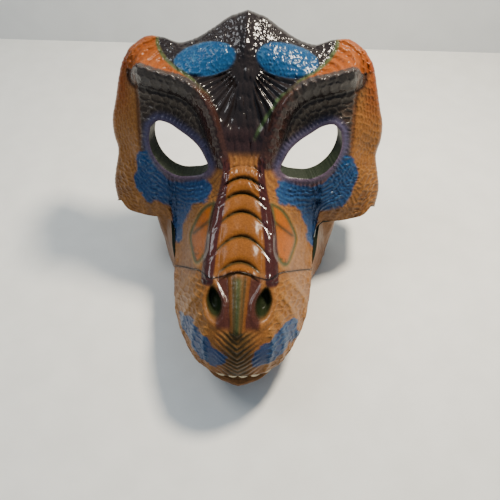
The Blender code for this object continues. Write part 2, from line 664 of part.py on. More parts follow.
def ring_outline(centre, radius, start=0.0):
    """A circle as (y, z) points, its first corner turned by start steps."""
    turns = [(k + start) * 2 * math.pi / ROUND_SIDES for k in range(ROUND_SIDES)]
    return [(centre[0] + radius * math.cos(turn), centre[1] + radius * math.sin(turn)) for turn in turns]


def box_outline(centre, size, steps=3):
    """A rectangle as (y, z) points, with its long sides divided."""
    half_y, half_z = size[0] / 2, size[1] / 2
    rises = [half_z * (2 * k / steps - 1) for k in range(steps + 1)]
    right = [(centre[0] + half_y, centre[1] + rise) for rise in rises]
    left = [(centre[0] - half_y, centre[1] + rise) for rise in reversed(rises)]
    return right + left


def weld_close_points(mesh):
    """Join points that a cut left almost on each other."""
    tidy = bmesh.new()
    tidy.from_mesh(mesh)
    bmesh.ops.remove_doubles(tidy, verts=tidy.verts, dist=WELD_DISTANCE * MM)
    tidy.to_mesh(mesh)
    tidy.free()


def apply_boolean(thing, other, operation):
    """Join a helper object to a thing, or cut it away, and remove the helper."""
    modifier = thing.modifiers.new(operation.title(), "BOOLEAN")
    modifier.operation = operation
    modifier.solver = "EXACT"
    modifier.object = other
    depsgraph = bpy.context.evaluated_depsgraph_get()
    result = bpy.data.meshes.new_from_object(thing.evaluated_get(depsgraph))
    thing.modifiers.clear()
    weld_close_points(result)
    old = thing.data
    thing.data = result
    bpy.data.meshes.remove(old)
    bpy.data.objects.remove(other)


def straight_bar(name, x_from, x_to, outline, material):
    """A bar along X with the given (y, z) outline."""
    count = len(outline)
    points = [(x_from, y, z) for y, z in outline] + [(x_to, y, z) for y, z in outline]
    faces = [tuple(range(count)), tuple(range(2 * count - 1, count - 1, -1))]
    for k in range(count):
        after = (k + 1) % count
        faces.append((k, count + k, count + after, after))
    return make_object(name, points, faces, material)


def face_shell(material):
    """Crown, brows, eye sockets, cheeks and rear snout, with the strap pads and jaw pivots inside."""
    outer_points, outer_faces, outer_border, holes = face_surface(FACE_COLUMNS, FACE_ROWS, outside=True)
    inner_points, inner_faces, inner_border, inner_holes = face_surface(FACE_COLUMNS, FACE_ROWS, outside=False)
    collar_ends = []
    for loop, (end, thick) in zip(holes, collar_rings(outer_points, holes)):
        previous = loop
        for ring in (end, thick):
            first = len(outer_points)
            outer_points = np.concatenate([outer_points, ring])
            numbers = list(range(first, first + len(ring)))
            for k in range(len(loop)):
                after = (k + 1) % len(loop)
                outer_faces.append((previous[after], previous[k], numbers[k], numbers[after]))
            previous = numbers
        collar_ends.append(previous)
    order = [min(inner_holes, key=lambda ring: abs(inner_points[ring, 0].mean() - outer_points[end, 0].mean()))
             for end in collar_ends]
    points, faces = join_walls((outer_points, outer_faces, [outer_border] + collar_ends),
                               (inner_points, inner_faces, [inner_border] + order))
    shell = make_object("face_shell", to_world(*points.T), faces, material)
    tree = wall_tree(shell)
    arm_inner = JAW_PLAN[1][0] - JAW_WALL
    for side in (1.0, -1.0):
        shoulder_x = arm_inner + JAW_WALL + TOUCH_GAP
        shoulder = wall_post("pivot_shoulder", tree, side, ring_outline(HINGE, PIVOT_RADIUS + PIVOT_SHOULDER),
                             shoulder_x, material)
        apply_boolean(shell, shoulder, "UNION")
        pin = straight_bar("pivot_pin", side * (arm_inner - PIVOT_END), side * (shoulder_x + PIVOT_END),
                           ring_outline(HINGE, PIVOT_RADIUS, start=0.5), material)
        apply_boolean(shell, pin, "UNION")
        pad_x = min(wall_reaches(tree, side, box_outline(STRAP_CENTRE, STRAP_PAD))) - STRAP_PAD_THICKNESS
        pad = wall_post("strap_pad", tree, side, box_outline(STRAP_CENTRE, STRAP_PAD), pad_x, material)
        apply_boolean(shell, pad, "UNION")
        slot = straight_bar("strap_slot", side * (pad_x - 2 * WALL), side * (pad_x + 8 * WALL),
                            box_outline(STRAP_CENTRE, STRAP_SLOT, 1), material)
        apply_boolean(shell, slot, "DIFFERENCE")
    return shell


def nose_piece(material):
    """The front of the snout, from the seam to the lip."""
    columns = round(FACE_COLUMNS * SEAM_SHARE)
    grid = mirror_grid(nose_grid(columns, NOSE_ROWS))
    faces = grid_faces(*grid.shape[:2])
    places = grid.reshape(-1, 2)
    border = boundary_loops(faces)
    points, faces = join_walls((outer_face(*places.T), faces, border), (inner_face(*places.T), faces, border))
    return make_object("nose_piece", to_world(*points.T), faces, material)


def teeth_row(columns):
    """Half the mouth edge, from the front outwards, as (x, up) places."""
    edge = LIP_FRONT[:-1] + LIP_SIDE[::-1] + MOUTH_EDGE[::-1][1:3]
    return spline(edge, np.linspace(0, 1, columns))


def upper_teeth(material):
    """A strip of pointed teeth that follows the inside of the upper lip, right round the snout."""
    half = teeth_row(TEETH_COUNT + 1)
    row = np.concatenate([half[:0:-1] * (-1.0, 1.0), half])
    inner = inner_face(*row.T)
    edge = to_world(*inner.T)
    along = np.gradient(edge, axis=0)
    along /= np.linalg.norm(along, axis=1, keepdims=True)
    inwards = to_world(*(inner - face_normal(*row.T, broad_height)).T) - edge
    up_wall = np.cross(along, inwards)
    up_wall *= np.sign(up_wall[:, 2:])
    up_wall /= np.linalg.norm(up_wall, axis=1, keepdims=True)
    count = len(row)
    tip = np.arange(count) % 2 == 0
    front = 1 - smooth_step(*TEETH_FRONT, np.abs(row[:, 0]))
    length = (np.where(tip, TOOTH_LENGTH, TOOTH_ROOT) + TEETH_FRONT_DROP * front)[:, None]
    near, far = inwards * TEETH_GAP, inwards * (TEETH_GAP + TOOTH_THICKNESS)
    rings = [edge + near + up_wall * STRIP_HEIGHT, edge + near - up_wall * length,
             edge + far - up_wall * length, edge + far + up_wall * STRIP_HEIGHT]
    points = np.concatenate(rings)
    faces = [(0, count, 2 * count, 3 * count), (count - 1, 4 * count - 1, 3 * count - 1, 2 * count - 1)]
    for k in range(4):
        first, second = k * count, (k + 1) % 4 * count
        faces += [(first + i, first + i + 1, second + i + 1, second + i) for i in range(count - 1)]
    return make_object("upper_teeth", points, faces, material)


def plan_point(plan, share):
    """Point on a left-right symmetrical plan curve, share -1 at the left rear, 0 in front, 1 right rear."""
    point = spline(plan, 1 - np.abs(share))
    point[..., 0] *= np.sign(share)
    return point


def height_at(profile, y):
    """Height z of a (y, z) profile, smooth between its points."""
    profile = np.asarray(sorted(profile), float)
    slopes = np.gradient(profile[:, 1], profile[:, 0])
    y = np.clip(y, profile[0, 0], profile[-1, 0])
    span = np.clip(np.searchsorted(profile[:, 0], y, side="right") - 1, 0, len(profile) - 2)
    width = profile[span + 1, 0] - profile[span, 0]
    u = (y - profile[span, 0]) / width
    return ((2 * u**3 - 3 * u**2 + 1) * profile[span, 1] + (u**3 - 2 * u**2 + u) * width * slopes[span]
            + (3 * u**2 - 2 * u**3) * profile[span + 1, 1] + (u**3 - u**2) * width * slopes[span + 1])


def jaw_surface(share, down):
    """Outer face of the jaw: down 0 at the rim, then the wall, the turn and the flat floor at 1."""
    plan = plan_point(JAW_PLAN, share)
    before = plan_point(JAW_PLAN, np.clip(share - 0.01, -1, 1))
    after = plan_point(JAW_PLAN, np.clip(share + 0.01, -1, 1))
    along = after - before
    along /= np.linalg.norm(along, axis=-1, keepdims=True)
    inwards = np.stack([-along[..., 1], along[..., 0]], axis=-1)
    front = smooth_step(JAW_FRONT_FROM, 1.0, 1 - np.abs(share))
    rim = height_at(JAW_RIM, plan[..., 1])
    foot = JAW_CHIN_RISE * smooth_step(-JAW_REST_FRONT, -JAW_PLAN[-1][1], -plan[..., 1])
    floor = JAW_FLOOR_SIDE + (JAW_FLOOR_FRONT - JAW_FLOOR_SIDE) * front**2
    wall_share, turn_share = 0.5, 0.75
    on_wall = np.clip(down / wall_share, 0, 1)
    on_turn = np.clip((down - wall_share) / (turn_share - wall_share), 0, 1)
    on_floor = np.clip((down - turn_share) / (1 - turn_share), 0, 1)
    angle = on_turn * math.pi / 2
    sink = JAW_FOOT_TURN
    z = rim + (foot + sink - rim) * on_wall - sink * np.sin(angle)
    tuck = smooth_step(*JAW_TUCK_RISE, plan[..., 1]) * (1 - smooth_step(*JAW_TUCK_FALL, plan[..., 1]))
    lean = JAW_TUCK * tuck * (1 - on_wall) + JAW_FLARE * (1 - front) * on_wall**2
    inset = sink * (1 - np.cos(angle)) + floor * on_floor + lean
    chin = CHIN_BULGE * front**3 * np.sin(math.pi * np.clip(down / turn_share, 0, 1))
    place = plan + inwards * (inset - chin)[..., None]
    return np.concatenate([place, z[..., None]], axis=-1)


def lower_jaw(material):
    """A U-shaped jaw with a flat underside, open behind, with an arm up each side to its pivot."""
    share, down = np.meshgrid(np.linspace(-1, 1, JAW_COLUMNS + 1), np.linspace(0, 1, JAW_ROWS + 1))
    outer = jaw_surface(share, down)
    along = np.gradient(outer, axis=1)
    across = np.gradient(outer, axis=0)
    normal = np.cross(across, along)
    normal /= np.linalg.norm(normal, axis=-1, keepdims=True)
    if normal[0, -1, 0] < 0:
        normal = -normal
    inner = outer - JAW_WALL * normal
    faces = grid_faces(JAW_ROWS + 1, JAW_COLUMNS + 1)
    border = boundary_loops(faces)
    points, faces = join_walls((outer.reshape(-1, 3), faces, border), (inner.reshape(-1, 3), faces, border))
    jaw = make_object("lower_jaw", points, faces, material)
    for side in (1.0, -1.0):
        bore = straight_bar("pivot_bore", side * (JAW_PLAN[0][0] - 5 * JAW_WALL), side * (JAW_PLAN[0][0] + 5 * JAW_WALL),
                            ring_outline(HINGE, PIVOT_RADIUS + PIVOT_CLEARANCE), material)
        apply_boolean(jaw, bore, "DIFFERENCE")
    return jaw


def stand_centred(pieces):
    """Move the pieces so that they stand on z = 0 with the origin under the middle of their box."""
    corners = np.array([vertex.co for piece in pieces for vertex in piece.data.vertices])
    low, high = corners.min(axis=0), corners.max(axis=0)
    shift = np.array([-(low[0] + high[0]) / 2, -(low[1] + high[1]) / 2, -low[2]])
    for piece in pieces:
        piece.data.transform(Matrix.Translation(shift))


def clear_scene():
    for thing in list(bpy.data.objects):
        bpy.data.objects.remove(thing)


def main():
    clear_scene()
    skin = plastic("painted_skin", (0.42, 0.19, 0.06), 0.42)
    nose = plastic("painted_nose", (0.36, 0.15, 0.05), 0.38)
    jaw = plastic("jaw_brown", (0.22, 0.10, 0.05), 0.5)
    tooth = plastic("tooth_cream", (0.75, 0.66, 0.45), 0.4)
    pieces = [face_shell(skin), nose_piece(nose), lower_jaw(jaw), upper_teeth(tooth)]
    stand_centred(pieces)


main()
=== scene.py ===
"""The looks of the dinosaur mask: fine mouldings with scales and wrinkles, sprayed paint with painted
highlight and shade, light and camera.

Lengths are in millimetres until a mesh is made. A point on the face has three numbers: x across,
up the face, and out of the face, on a plane that leans back 45 degrees, as in the part's source.
"""
import json
import math

import bmesh
import bpy
import numpy as np
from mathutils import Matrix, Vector
from mathutils.bvhtree import BVHTree


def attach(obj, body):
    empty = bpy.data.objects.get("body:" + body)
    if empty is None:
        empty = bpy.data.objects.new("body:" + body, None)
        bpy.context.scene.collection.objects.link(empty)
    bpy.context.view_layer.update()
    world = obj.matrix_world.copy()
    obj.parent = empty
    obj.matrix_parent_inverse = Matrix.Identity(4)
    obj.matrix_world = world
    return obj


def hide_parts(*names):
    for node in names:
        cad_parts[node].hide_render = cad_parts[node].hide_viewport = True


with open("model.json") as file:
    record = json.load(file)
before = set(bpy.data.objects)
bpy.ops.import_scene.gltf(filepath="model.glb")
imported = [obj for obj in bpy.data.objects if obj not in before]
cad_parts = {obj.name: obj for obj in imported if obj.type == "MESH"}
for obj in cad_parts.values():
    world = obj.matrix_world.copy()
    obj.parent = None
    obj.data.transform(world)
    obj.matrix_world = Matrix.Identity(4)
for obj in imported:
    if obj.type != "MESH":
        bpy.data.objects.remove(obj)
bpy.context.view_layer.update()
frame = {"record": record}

MM = 0.001

# Points that are measured in one go, to spare memory
BLOCK = 20000

# Walls, gaps and fits, as in the part's source
WALL = 2.4
JAW_WALL = 2.4
TOUCH_GAP = 0.3
COLLAR_DEPTH = 12.0
COLLAR_LEAN = 3.0
COLLAR_WALL = 2.0
PIVOT_RADIUS = 3.0
PIVOT_CLEARANCE = 0.3
PIVOT_SHOULDER = 3.0
PIVOT_END = 1.5
FACE_LEAN = math.radians(45.0)

# Outline of the face moulding, right half, as (x, up)
CROWN_EDGE = ((0, 204), (11, 201.5), (24.5, 193), (37, 185.5), (50, 182), (63, 186), (76, 187), (88, 180))
SIDE_EDGE = ((88, 180), (95, 169), (99.5, 155), (104, 142), (108.5, 130), (108.5, 118),
             (106, 107), (108.5, 94), (111.5, 79), (109.5, 64))
CHEEK_EDGE = ((109.5, 64), (103, 56.5), (91, 52.5), (79, 50.5), (67, 50.5))
MOUTH_EDGE = ((67, 50.5), (61.5, 46), (59.2, 36), (58.2, 24), (57.3, 10))
SEAM = ((0, 15.4), (6, 14.2), (12, 11.5), (20, 9.8), (30, 13.5), (42, 12.5), (57.3, 10))
LIP_SIDE = ((57.3, 10), (55, -9), (49.5, -30), (41, -45))
LIP_FRONT = ((0, -62.3), (9, -62), (20, -60.5), (32, -55), (41, -45))
SEAM_SHARE = 0.50
MOUTH_SHARE = 0.16



def raised(places, heights):
    """Places on the outline with how far out each of them lies, as (x, up, out)."""
    return tuple((x, up, out) for (x, up), out in zip(places, heights))


# Height landmarks of the face, as (up, out) on the midline and (x, up, out) elsewhere
MIDLINE = ((204, 94.5), (192, 99), (172, 102), (158, 102), (140, 100), (120, 98), (103, 97), (88, 98.5),
           (71, 101.5), (57, 105.5), (39, 114), (21, 123), (8, 130), (-4, 135.5), (-18, 142), (-30, 145.5),
           (-41, 143.5), (-52, 136.5), (-62.3, 126))
BROW_LINE = ((81, 161, 102), (69, 157, 104.5), (57, 154, 105), (47, 151, 105), (38, 146, 105),
             (31, 139, 104.5), (26, 131, 103.5), (22, 120, 101.5), (19, 109, 99.5), (16, 97, 98))
STRIPE_LINE = ((15, 90, 98), (16, 79, 99.5), (17.5, 65, 102.5), (20, 50, 107.5), (22, 38, 112.5),
               (23, 24, 119), (23.5, 12, 124.5))
CROWN_FORM = ((20, 187, 97), (36, 180, 95.5), (53, 176, 95), (22, 171, 101), (40, 167, 100.5), (58, 166, 100),
              (72, 171, 98), (81, 174, 95), (12, 150, 101), (24, 151, 102.5), (9, 126, 99), (8, 105, 97.5))
CROWN_RIM_FORM = raised(CROWN_EDGE[1:-1], (94, 92.5, 91.5, 91, 90.5, 89))
SOCKET_FORM = ((74, 144, 91), (60, 140, 91.5), (47, 133, 91.5), (37, 124, 91), (30, 112, 91), (25, 99, 91))
EYE_TOP_FORM = ((72, 126, 85), (62, 124.5, 86), (52, 119, 86.5), (43, 113, 86.5), (36, 106, 86.5),
                (30, 97, 86))
EYE_LOW_FORM = ((29, 87, 84.5), (36, 83.5, 83), (45, 82.5, 81.5), (54, 83, 80.5), (62, 86.5, 79.5),
                (70, 94, 79), (75, 103, 79), (77, 114, 80))
UNDER_EYE_FORM = ((24, 77, 91), (33, 71, 84), (45, 68, 76), (58, 67, 70), (72, 74, 67), (84, 87, 66),
                  (87, 104, 70))
TEMPLE_FORM = ((87, 120, 75), (86, 135, 80), (87, 150, 86), (88, 163, 90), (97, 139, 73.5), (98, 125, 68),
               (95, 106, 61), (99, 93, 57), (101, 79, 52), (96, 66, 49), (84, 62, 55), (71, 60, 60))
SIDE_FORM = raised(SIDE_EDGE, (88, 85, 79, 69.5, 60.5, 55, 51, 47, 41.5, 37.5))
CHEEK_FORM = raised(CHEEK_EDGE[1:], (39.5, 42.5, 46, 50.5))
SNOUT_FORM = ((48, 55, 68), (30, 49, 95.5), (42, 33, 80.5), (50, 22.5, 70), (33, 14, 113), (44, 15, 87.5),
              (42, 3.5, 101), (49, -8.5, 90), (22, -7, 133), (33, -18, 123.5), (40, -30, 111.5),
              (20, -27, 139.5), (28, -38, 129.5), (32, -48, 119), (15, -48, 135.5))
LIP_FORM = raised(MOUTH_EDGE[1:] + LIP_SIDE[1:] + LIP_FRONT[-2:0:-1],
                  (51.5, 50, 55, 63, 76, 91, 101.5, 111, 119.5, 124.5))

# Carving shared with the part's source
BROW_HEIGHT, BROW_WIDTH_ABOVE, BROW_WIDTH_BELOW, BROW_TURN = 7.0, 3.8, 8.5, 3.0
BROW_START = 0.04
BROW_TAPER, BROW_TAPER_FROM = 0.55, 0.6
STRIPE_HEIGHT, STRIPE_WIDTH = 2.6, 4.2
STRIPE_FADE = (-0.15, 0.1)
CREST_HEIGHT, CREST_WIDTH, CREST_FOOT, CREST_RISE = 3.2, 4.5, 160.0, 20.0
PLATE_EDGES = (92.0, 82.5, 71.0, 57.0, 39.0, 21.0, 14.0)
PLATE_HEIGHT, PLATE_HALF_WIDTH, PLATE_ARCH = 3.4, 15.0, 7.5
KEEL_HEIGHT, KEEL_TOP_WIDTH, KEEL_END_WIDTH, KEEL_END = 4.2, 9.0, 5.0, -27.0
KEEL_FADE = (4.0, 3.0)
KEEL_OVERLAP, KEEL_ROUNDNESS = 1.0, 0.8
NOSTRIL_CENTRE = (17.8, -6.5)
NOSTRIL_SIZE = (6.2, 11.5)
NOSTRIL_LEAN = math.radians(8.0)
NOSTRIL_DEPTH = 9.0
NOSTRIL_PINCH = 0.45
NOSTRIL_FLOOR, NOSTRIL_EDGE = 0.35, 1.05
NOSTRIL_RIM_HEIGHT, NOSTRIL_RIM_PLACE, NOSTRIL_RIM_WIDTH = 1.4, 1.3, 0.28
OVAL_CENTRE, OVAL_SIZE, OVAL_HEIGHT = (30.5, 169.5), (23.5, 13.5), 2.2
OVAL_LEAN = math.radians(8.0)
SCALLOP_HEIGHT, SCALLOP_PITCH, SCALLOP_REACH, SCALLOP_START = 2.0, 13.0, 7.0, 0.08
NORMAL_STEP = 0.8
EYE_OUTLINE = ((74.5, 121), (68, 125.5), (60, 124), (51, 118.5), (43, 113), (36.5, 107), (31.5, 99),
               (28.5, 89.5), (34, 85.5), (43, 84), (52, 84), (60, 87), (68, 93.5), (73.5, 102), (76, 112))

# Rim behind the crown and cheeks
RIM_CENTRE = (0.0, 95.0)
RIM_TURN_RADIUS = 14.0
RIM_TURN_START = math.radians(42.0)
RIM_DEPTH_TOP, RIM_DEPTH_SIDE = 14.0, 30.0
RIM_SIDE_UP_TO = 0.5
RIM_EVENNESS = 0.35
RIM_LIFT = 0.5

# Lower jaw: its pivot as (y, z), its wall as (x, y) and its rim as (y, z)
HINGE = (26.0, 72.0)
ARM_RISE, ARM_SHOULDER = 12.0, 6.0
ARM_TOP = HINGE[1] + ARM_RISE
JAW_PLAN = ((82, 42), (82.5, 26), (80, 9), (69.5, -14), (54.5, -36), (43, -60), (36, -84), (28, -102),
            (15.5, -115.5), (0, -120.5))
JAW_RIM = ((42, ARM_TOP), (26, ARM_TOP), (16, ARM_TOP - ARM_SHOULDER), (8, 66.5), (3, 64.5), (-6, 61.5),
           (-14, 56.0), (-30, 45.0), (-50, 38), (-90, 32), (-121, 33))
JAW_REST_FRONT, JAW_CHIN_RISE = -82.0, 11.0
JAW_FOOT_TURN = 12.0
JAW_FLOOR_FRONT, JAW_FLOOR_SIDE = 12.0, 6.0
JAW_FLARE = 6.5
JAW_TUCK, JAW_TUCK_RISE, JAW_TUCK_FALL = 12.8, (-36.0, 2.0), (4.0, 20.0)
CHIN_BULGE = 10.0
JAW_FRONT_FROM = 0.45
JAW_WALL_SHARE, JAW_TURN_SHARE = 0.5, 0.75
JAW_PLAN_STEP = 0.01

# Upper teeth
TEETH_COUNT = 25
TOOTH_LENGTH, TOOTH_THICKNESS, TOOTH_ROOT = 4.5, 2.6, 0.6
TEETH_FRONT_DROP = 3.5
TEETH_FRONT = (26.0, 46.0)
STRIP_HEIGHT = 5.0
TEETH_FORWARD = 2.8
TEETH_GAP = 1.2

# Strap slots in their pads, as (y, z)
STRAP_CENTRE = (62.0, 118.0)
STRAP_PAD = (13.0, 36.0)
STRAP_PAD_THICKNESS = 2.0
STRAP_SLOT = (5.0, 22.0)

# Mesh density of the fine mouldings
FACE_COLUMNS, FACE_ROWS = 136, 190
NOSE_ROWS = 130
RIM_ROWS = 16
COLLAR_RINGS = 10
EYE_SAMPLES = 900
JAW_COLUMNS, JAW_ROWS = 220, 80
JAW_INNER_COLUMNS, JAW_INNER_ROWS = 72, 18
TOOTH_STEPS, TOOTH_ROUND = 6, 10
ROUND_SIDES = 32
INNER_COLUMNS, INNER_ROWS = 44, 60
INNER_NOSE_ROWS = 34

# The camera, in the part's own coordinates
CAMERA_PLACE = (15.5, -313.7, 404.0)
CAMERA_PITCH = math.radians(50.0)
CAMERA_YAW = math.radians(2.0)
FOCAL_SHARE = 536.0 / 500.0
SENSOR = 36.0

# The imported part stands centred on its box: the hinge tells how far it was moved
HINGE_AT = frame["record"]["behaviour"]["joints"][0]["pos_m"]
MOVED = np.array([0.0, HINGE_AT[1] / MM - HINGE[0], HINGE_AT[2] / MM - HINGE[1]])


def to_world(x, up, out):
    """World point, in millimetres, of a point given on the leaning face plane."""
    x, up, out = np.broadcast_arrays(x, up, out)
    y = up * math.sin(FACE_LEAN) - out * math.cos(FACE_LEAN)
    z = up * math.cos(FACE_LEAN) + out * math.sin(FACE_LEAN)
    return np.stack([x, y, z], axis=-1)


def unit(vectors):
    """The same directions at length 1."""
    return vectors / np.linalg.norm(vectors, axis=-1, keepdims=True)


def hermite(u, width, start, end, start_slope, end_slope):
    """A cubic from start to end over a width, at share u, with a slope given at each end."""
    return ((2 * u**3 - 3 * u**2 + 1) * start + (u**3 - 2 * u**2 + u) * width * start_slope
            + (3 * u**2 - 2 * u**3) * end + (u**3 - u**2) * width * end_slope)


def spline(points, share):
    """Points on a smooth curve through the given ones, at shares 0 to 1 of its length."""
    points = np.asarray(points, float)
    steps = np.linalg.norm(np.diff(points, axis=0), axis=1)
    knots = np.concatenate([[0.0], np.cumsum(steps)])
    slopes = np.gradient(points, knots, axis=0)
    place = np.clip(np.asarray(share, float), 0.0, 1.0) * knots[-1]
    span = np.clip(np.searchsorted(knots, place, side="right") - 1, 0, len(steps) - 1)
    u = ((place - knots[span]) / steps[span])[..., None]
    return hermite(u, steps[span][..., None], points[span], points[span + 1], slopes[span], slopes[span + 1])


def smooth_step(low, high, value):
    """0 below low, 1 above high, smooth between."""
    t = np.clip((value - low) / (high - low), 0.0, 1.0)
    return t * t * (3 - 2 * t)


def smooth_fall(low, high, value):
    """1 below low, 0 above high, smooth between."""
    return 1 - smooth_step(low, high, value)


def bell(value, width):
    """1 at value 0, falling to each side within about the width."""
    return np.exp(-(value / width) ** 2)


def dome(distance, radius):
    """1 in the middle, falling like a ball's surface to 0 at the radius."""
    return np.sqrt(np.clip(1 - (distance / radius) ** 2, 0, 1))


def near_points(place, curve):
    """Nearest of a curve's points to each place, and how far it is."""
    best = np.zeros(len(place), int)
    gap = np.zeros(len(place))
    for first in range(0, len(place), BLOCK):
        part = slice(first, first + BLOCK)
        apart = place[part, None, :] - curve[None, :, :]
        distance = np.hypot(apart[..., 0], apart[..., 1])
        best[part] = distance.argmin(axis=1)
        gap[part] = distance.min(axis=1)
    return best, gap


def near_curve(x, up, points, samples=60):
    """Distance from each (|x|, up) to a curve, the share of the curve where it is nearest, how far it is to
    the left of the curve's run, and how far along the curve it is in mm."""
    curve = spline(np.asarray(points, float)[:, :2], np.linspace(0, 1, samples))
    length = np.concatenate([[0.0], np.cumsum(np.linalg.norm(np.diff(curve, axis=0), axis=1))])
    run = unit(np.gradient(curve, axis=0))
    place = np.stack([np.abs(x).ravel(), np.ravel(up)], axis=-1)
    best, gap = near_points(place, curve)
    offset = place - curve[best]
    side = run[best, 0] * offset[:, 1] - run[best, 1] * offset[:, 0]
    return [value.reshape(np.shape(x)) for value in (gap, best / (samples - 1), side, length[best])]


def follow_curve(x, up, points, samples=120):
    """Signed distance from a curve on the right half, plus on the left of its run, and how far along it."""
    gap, _, side, along = near_curve(x, up, points, samples)
    return gap * np.sign(side), along


class ThinPlate:
    """The smooth sheet that passes through a set of heights on the face plane."""

    UNIT = 100.0

    def __init__(self, landmarks):
        places = np.asarray([p[:2] for p in landmarks], float) / self.UNIT
        heights = np.asarray([p[2] for p in landmarks], float)
        count = len(places)
        system = np.zeros((count + 3, count + 3))
        system[:count, :count] = self.bend(places, places)
        system[:count, count] = 1.0
        system[:count, count + 1:] = places
        system[count:, :count] = system[:count, count:].T
        self.places = places
        self.weights = np.linalg.solve(system, np.concatenate([heights, np.zeros(3)]))

    @staticmethod
    def bend(a, b):
        square = ((a[:, None, :] - b[None, :, :]) ** 2).sum(axis=-1)
        return 0.5 * square * np.log(square + 1e-12)

    def __call__(self, x, up):
        place = np.stack([np.ravel(x), np.ravel(up)], axis=-1) / self.UNIT
        height = self.weights[-3] + place @ self.weights[-2:]
        for first in range(0, len(place), BLOCK):
            part = slice(first, first + BLOCK)
            height[part] += self.bend(place[part], self.places) @ self.weights[:-3]
        return height.reshape(np.shape(x))


def face_landmarks():
    """Every height landmark of the face, both halves."""
    middle = [(0.0, up, out) for up, out in MIDLINE]
    groups = (BROW_LINE, STRIPE_LINE, CROWN_FORM, CROWN_RIM_FORM, SOCKET_FORM, EYE_TOP_FORM, EYE_LOW_FORM,
              UNDER_EYE_FORM, TEMPLE_FORM, SIDE_FORM, CHEEK_FORM, SNOUT_FORM, LIP_FORM)
    half = [point for group in groups for point in group]
    return middle + half + [(-x, up, out) for x, up, out in half]


FACE_SHEET = ThinPlate(face_landmarks())


def brow_ridge(x, up):
    """A thick roll over each eye, steep above its crest line and long below it."""
    gap, share, side, _ = near_curve(x, up, BROW_LINE)
    below = smooth_step(-BROW_TURN, BROW_TURN, side)
    width = BROW_WIDTH_ABOVE + (BROW_WIDTH_BELOW - BROW_WIDTH_ABOVE) * below
    taper = 1 - BROW_TAPER * smooth_step(BROW_TAPER_FROM, 1.0, share)
    return BROW_HEIGHT * smooth_step(-BROW_START, BROW_START, share) * taper * bell(gap, width)


def stripe_ridge(x, up):
    gap, share, _, _ = near_curve(x, up, STRIPE_LINE)
    return STRIPE_HEIGHT * bell(gap, STRIPE_WIDTH) * smooth_step(*STRIPE_FADE, share)


def crest_keel(x, up):
    return CREST_HEIGHT * bell(x, CREST_WIDTH) * smooth_step(CREST_FOOT, CREST_FOOT + CREST_RISE, up)


def arched_up(x, up):
    """Height up the face on the snout's plates, whose edges arch over the bridge."""
    return up + PLATE_ARCH * (np.abs(x) / PLATE_HALF_WIDTH) ** 2


def snout_plates(x, up):
    """Overlapping plates down the bridge of the snout, each highest at its lower edge."""
    arched = arched_up(x, up)
    relief = np.zeros(np.shape(x))
    for top, bottom in zip(PLATE_EDGES[:-1], PLATE_EDGES[1:]):
        rise = np.clip((top - arched) / (top - bottom), 0.0, 1.0)
        swell = np.sqrt(rise) * (1 - rise**6)
        relief = np.where((arched <= top) & (arched > bottom), PLATE_HEIGHT * swell, relief)
    return relief * np.clip(1 - (np.abs(x) / PLATE_HALF_WIDTH) ** 4, 0.0, 1.0)


def keel_span(up):
    """How far down the nose's keel a place is, 0 at the seam and 1 at its end, and its half width there."""
    down = np.clip((SEAM[0][1] - up) / (SEAM[0][1] - KEEL_END), 0.0, 1.0)
    return down, KEEL_TOP_WIDTH + (KEEL_END_WIDTH - KEEL_TOP_WIDTH) * down


def nose_keel(x, up):
    """The rounded keel that runs down the nose and stops above the lip."""
    _, half = keel_span(up)
    across = np.clip(1 - (x / half) ** 2, 0.0, 1.0) ** KEEL_ROUNDNESS
    end = smooth_step(KEEL_END - KEEL_FADE[0], KEEL_END + KEEL_FADE[1], up)
    return KEEL_HEIGHT * across * end * (up < SEAM[0][1] + KEEL_OVERLAP)


def oval_place(x, up):
    """Distance from the middle of a crown oval, 1 at its edge. The oval leans outwards at its top."""
    dx, dup = np.abs(x) - OVAL_CENTRE[0], up - OVAL_CENTRE[1]
    along = dx * math.cos(OVAL_LEAN) - dup * math.sin(OVAL_LEAN)
    across = dx * math.sin(OVAL_LEAN) + dup * math.cos(OVAL_LEAN)
    return np.hypot(along / OVAL_SIZE[0], across / OVAL_SIZE[1])


def nostril_place(x, up):
    """0 in the middle of a nostril and 1 at its rim, pointed at the top."""
    pinch = 1 + NOSTRIL_PINCH * smooth_step(0.0, 1.0, (up - NOSTRIL_CENTRE[1]) / NOSTRIL_SIZE[1])
    centre_x = NOSTRIL_CENTRE[0] + math.tan(NOSTRIL_LEAN) * (up - NOSTRIL_CENTRE[1])
    across = (np.abs(x) - centre_x) * pinch / NOSTRIL_SIZE[0]
    return np.hypot(across, (up - NOSTRIL_CENTRE[1]) / NOSTRIL_SIZE[1])


def nostril_pocket(x, up, margin=0.0):
    reach = 1 + margin / NOSTRIL_SIZE[0]
    return NOSTRIL_DEPTH * smooth_fall(NOSTRIL_FLOOR * reach, NOSTRIL_EDGE * reach, nostril_place(x, up))


def nostril_rim(x, up):
    return NOSTRIL_RIM_HEIGHT * bell(nostril_place(x, up) - NOSTRIL_RIM_PLACE, NOSTRIL_RIM_WIDTH)


def crown_ovals(x, up):
    return OVAL_HEIGHT * dome(oval_place(x, up), 1.0)


LIP_LINE = LIP_FRONT[:-1] + LIP_SIDE[::-1] + MOUTH_EDGE[::-1][1:4]
LIP_LENGTH = np.linalg.norm(np.diff(np.asarray(LIP_LINE, float), axis=0), axis=1).sum()


def lip_scallops(x, up):
    """Rounded swellings along the mouth edge, one above each large tooth."""
    gap, share, _, _ = near_curve(x, up, LIP_LINE, samples=120)
    wave = 0.5 - 0.5 * np.cos(2 * math.pi * share * LIP_LENGTH / SCALLOP_PITCH)
    near = smooth_fall(0.0, SCALLOP_REACH, gap)
    return SCALLOP_HEIGHT * wave * near * smooth_step(0.0, SCALLOP_START, share)


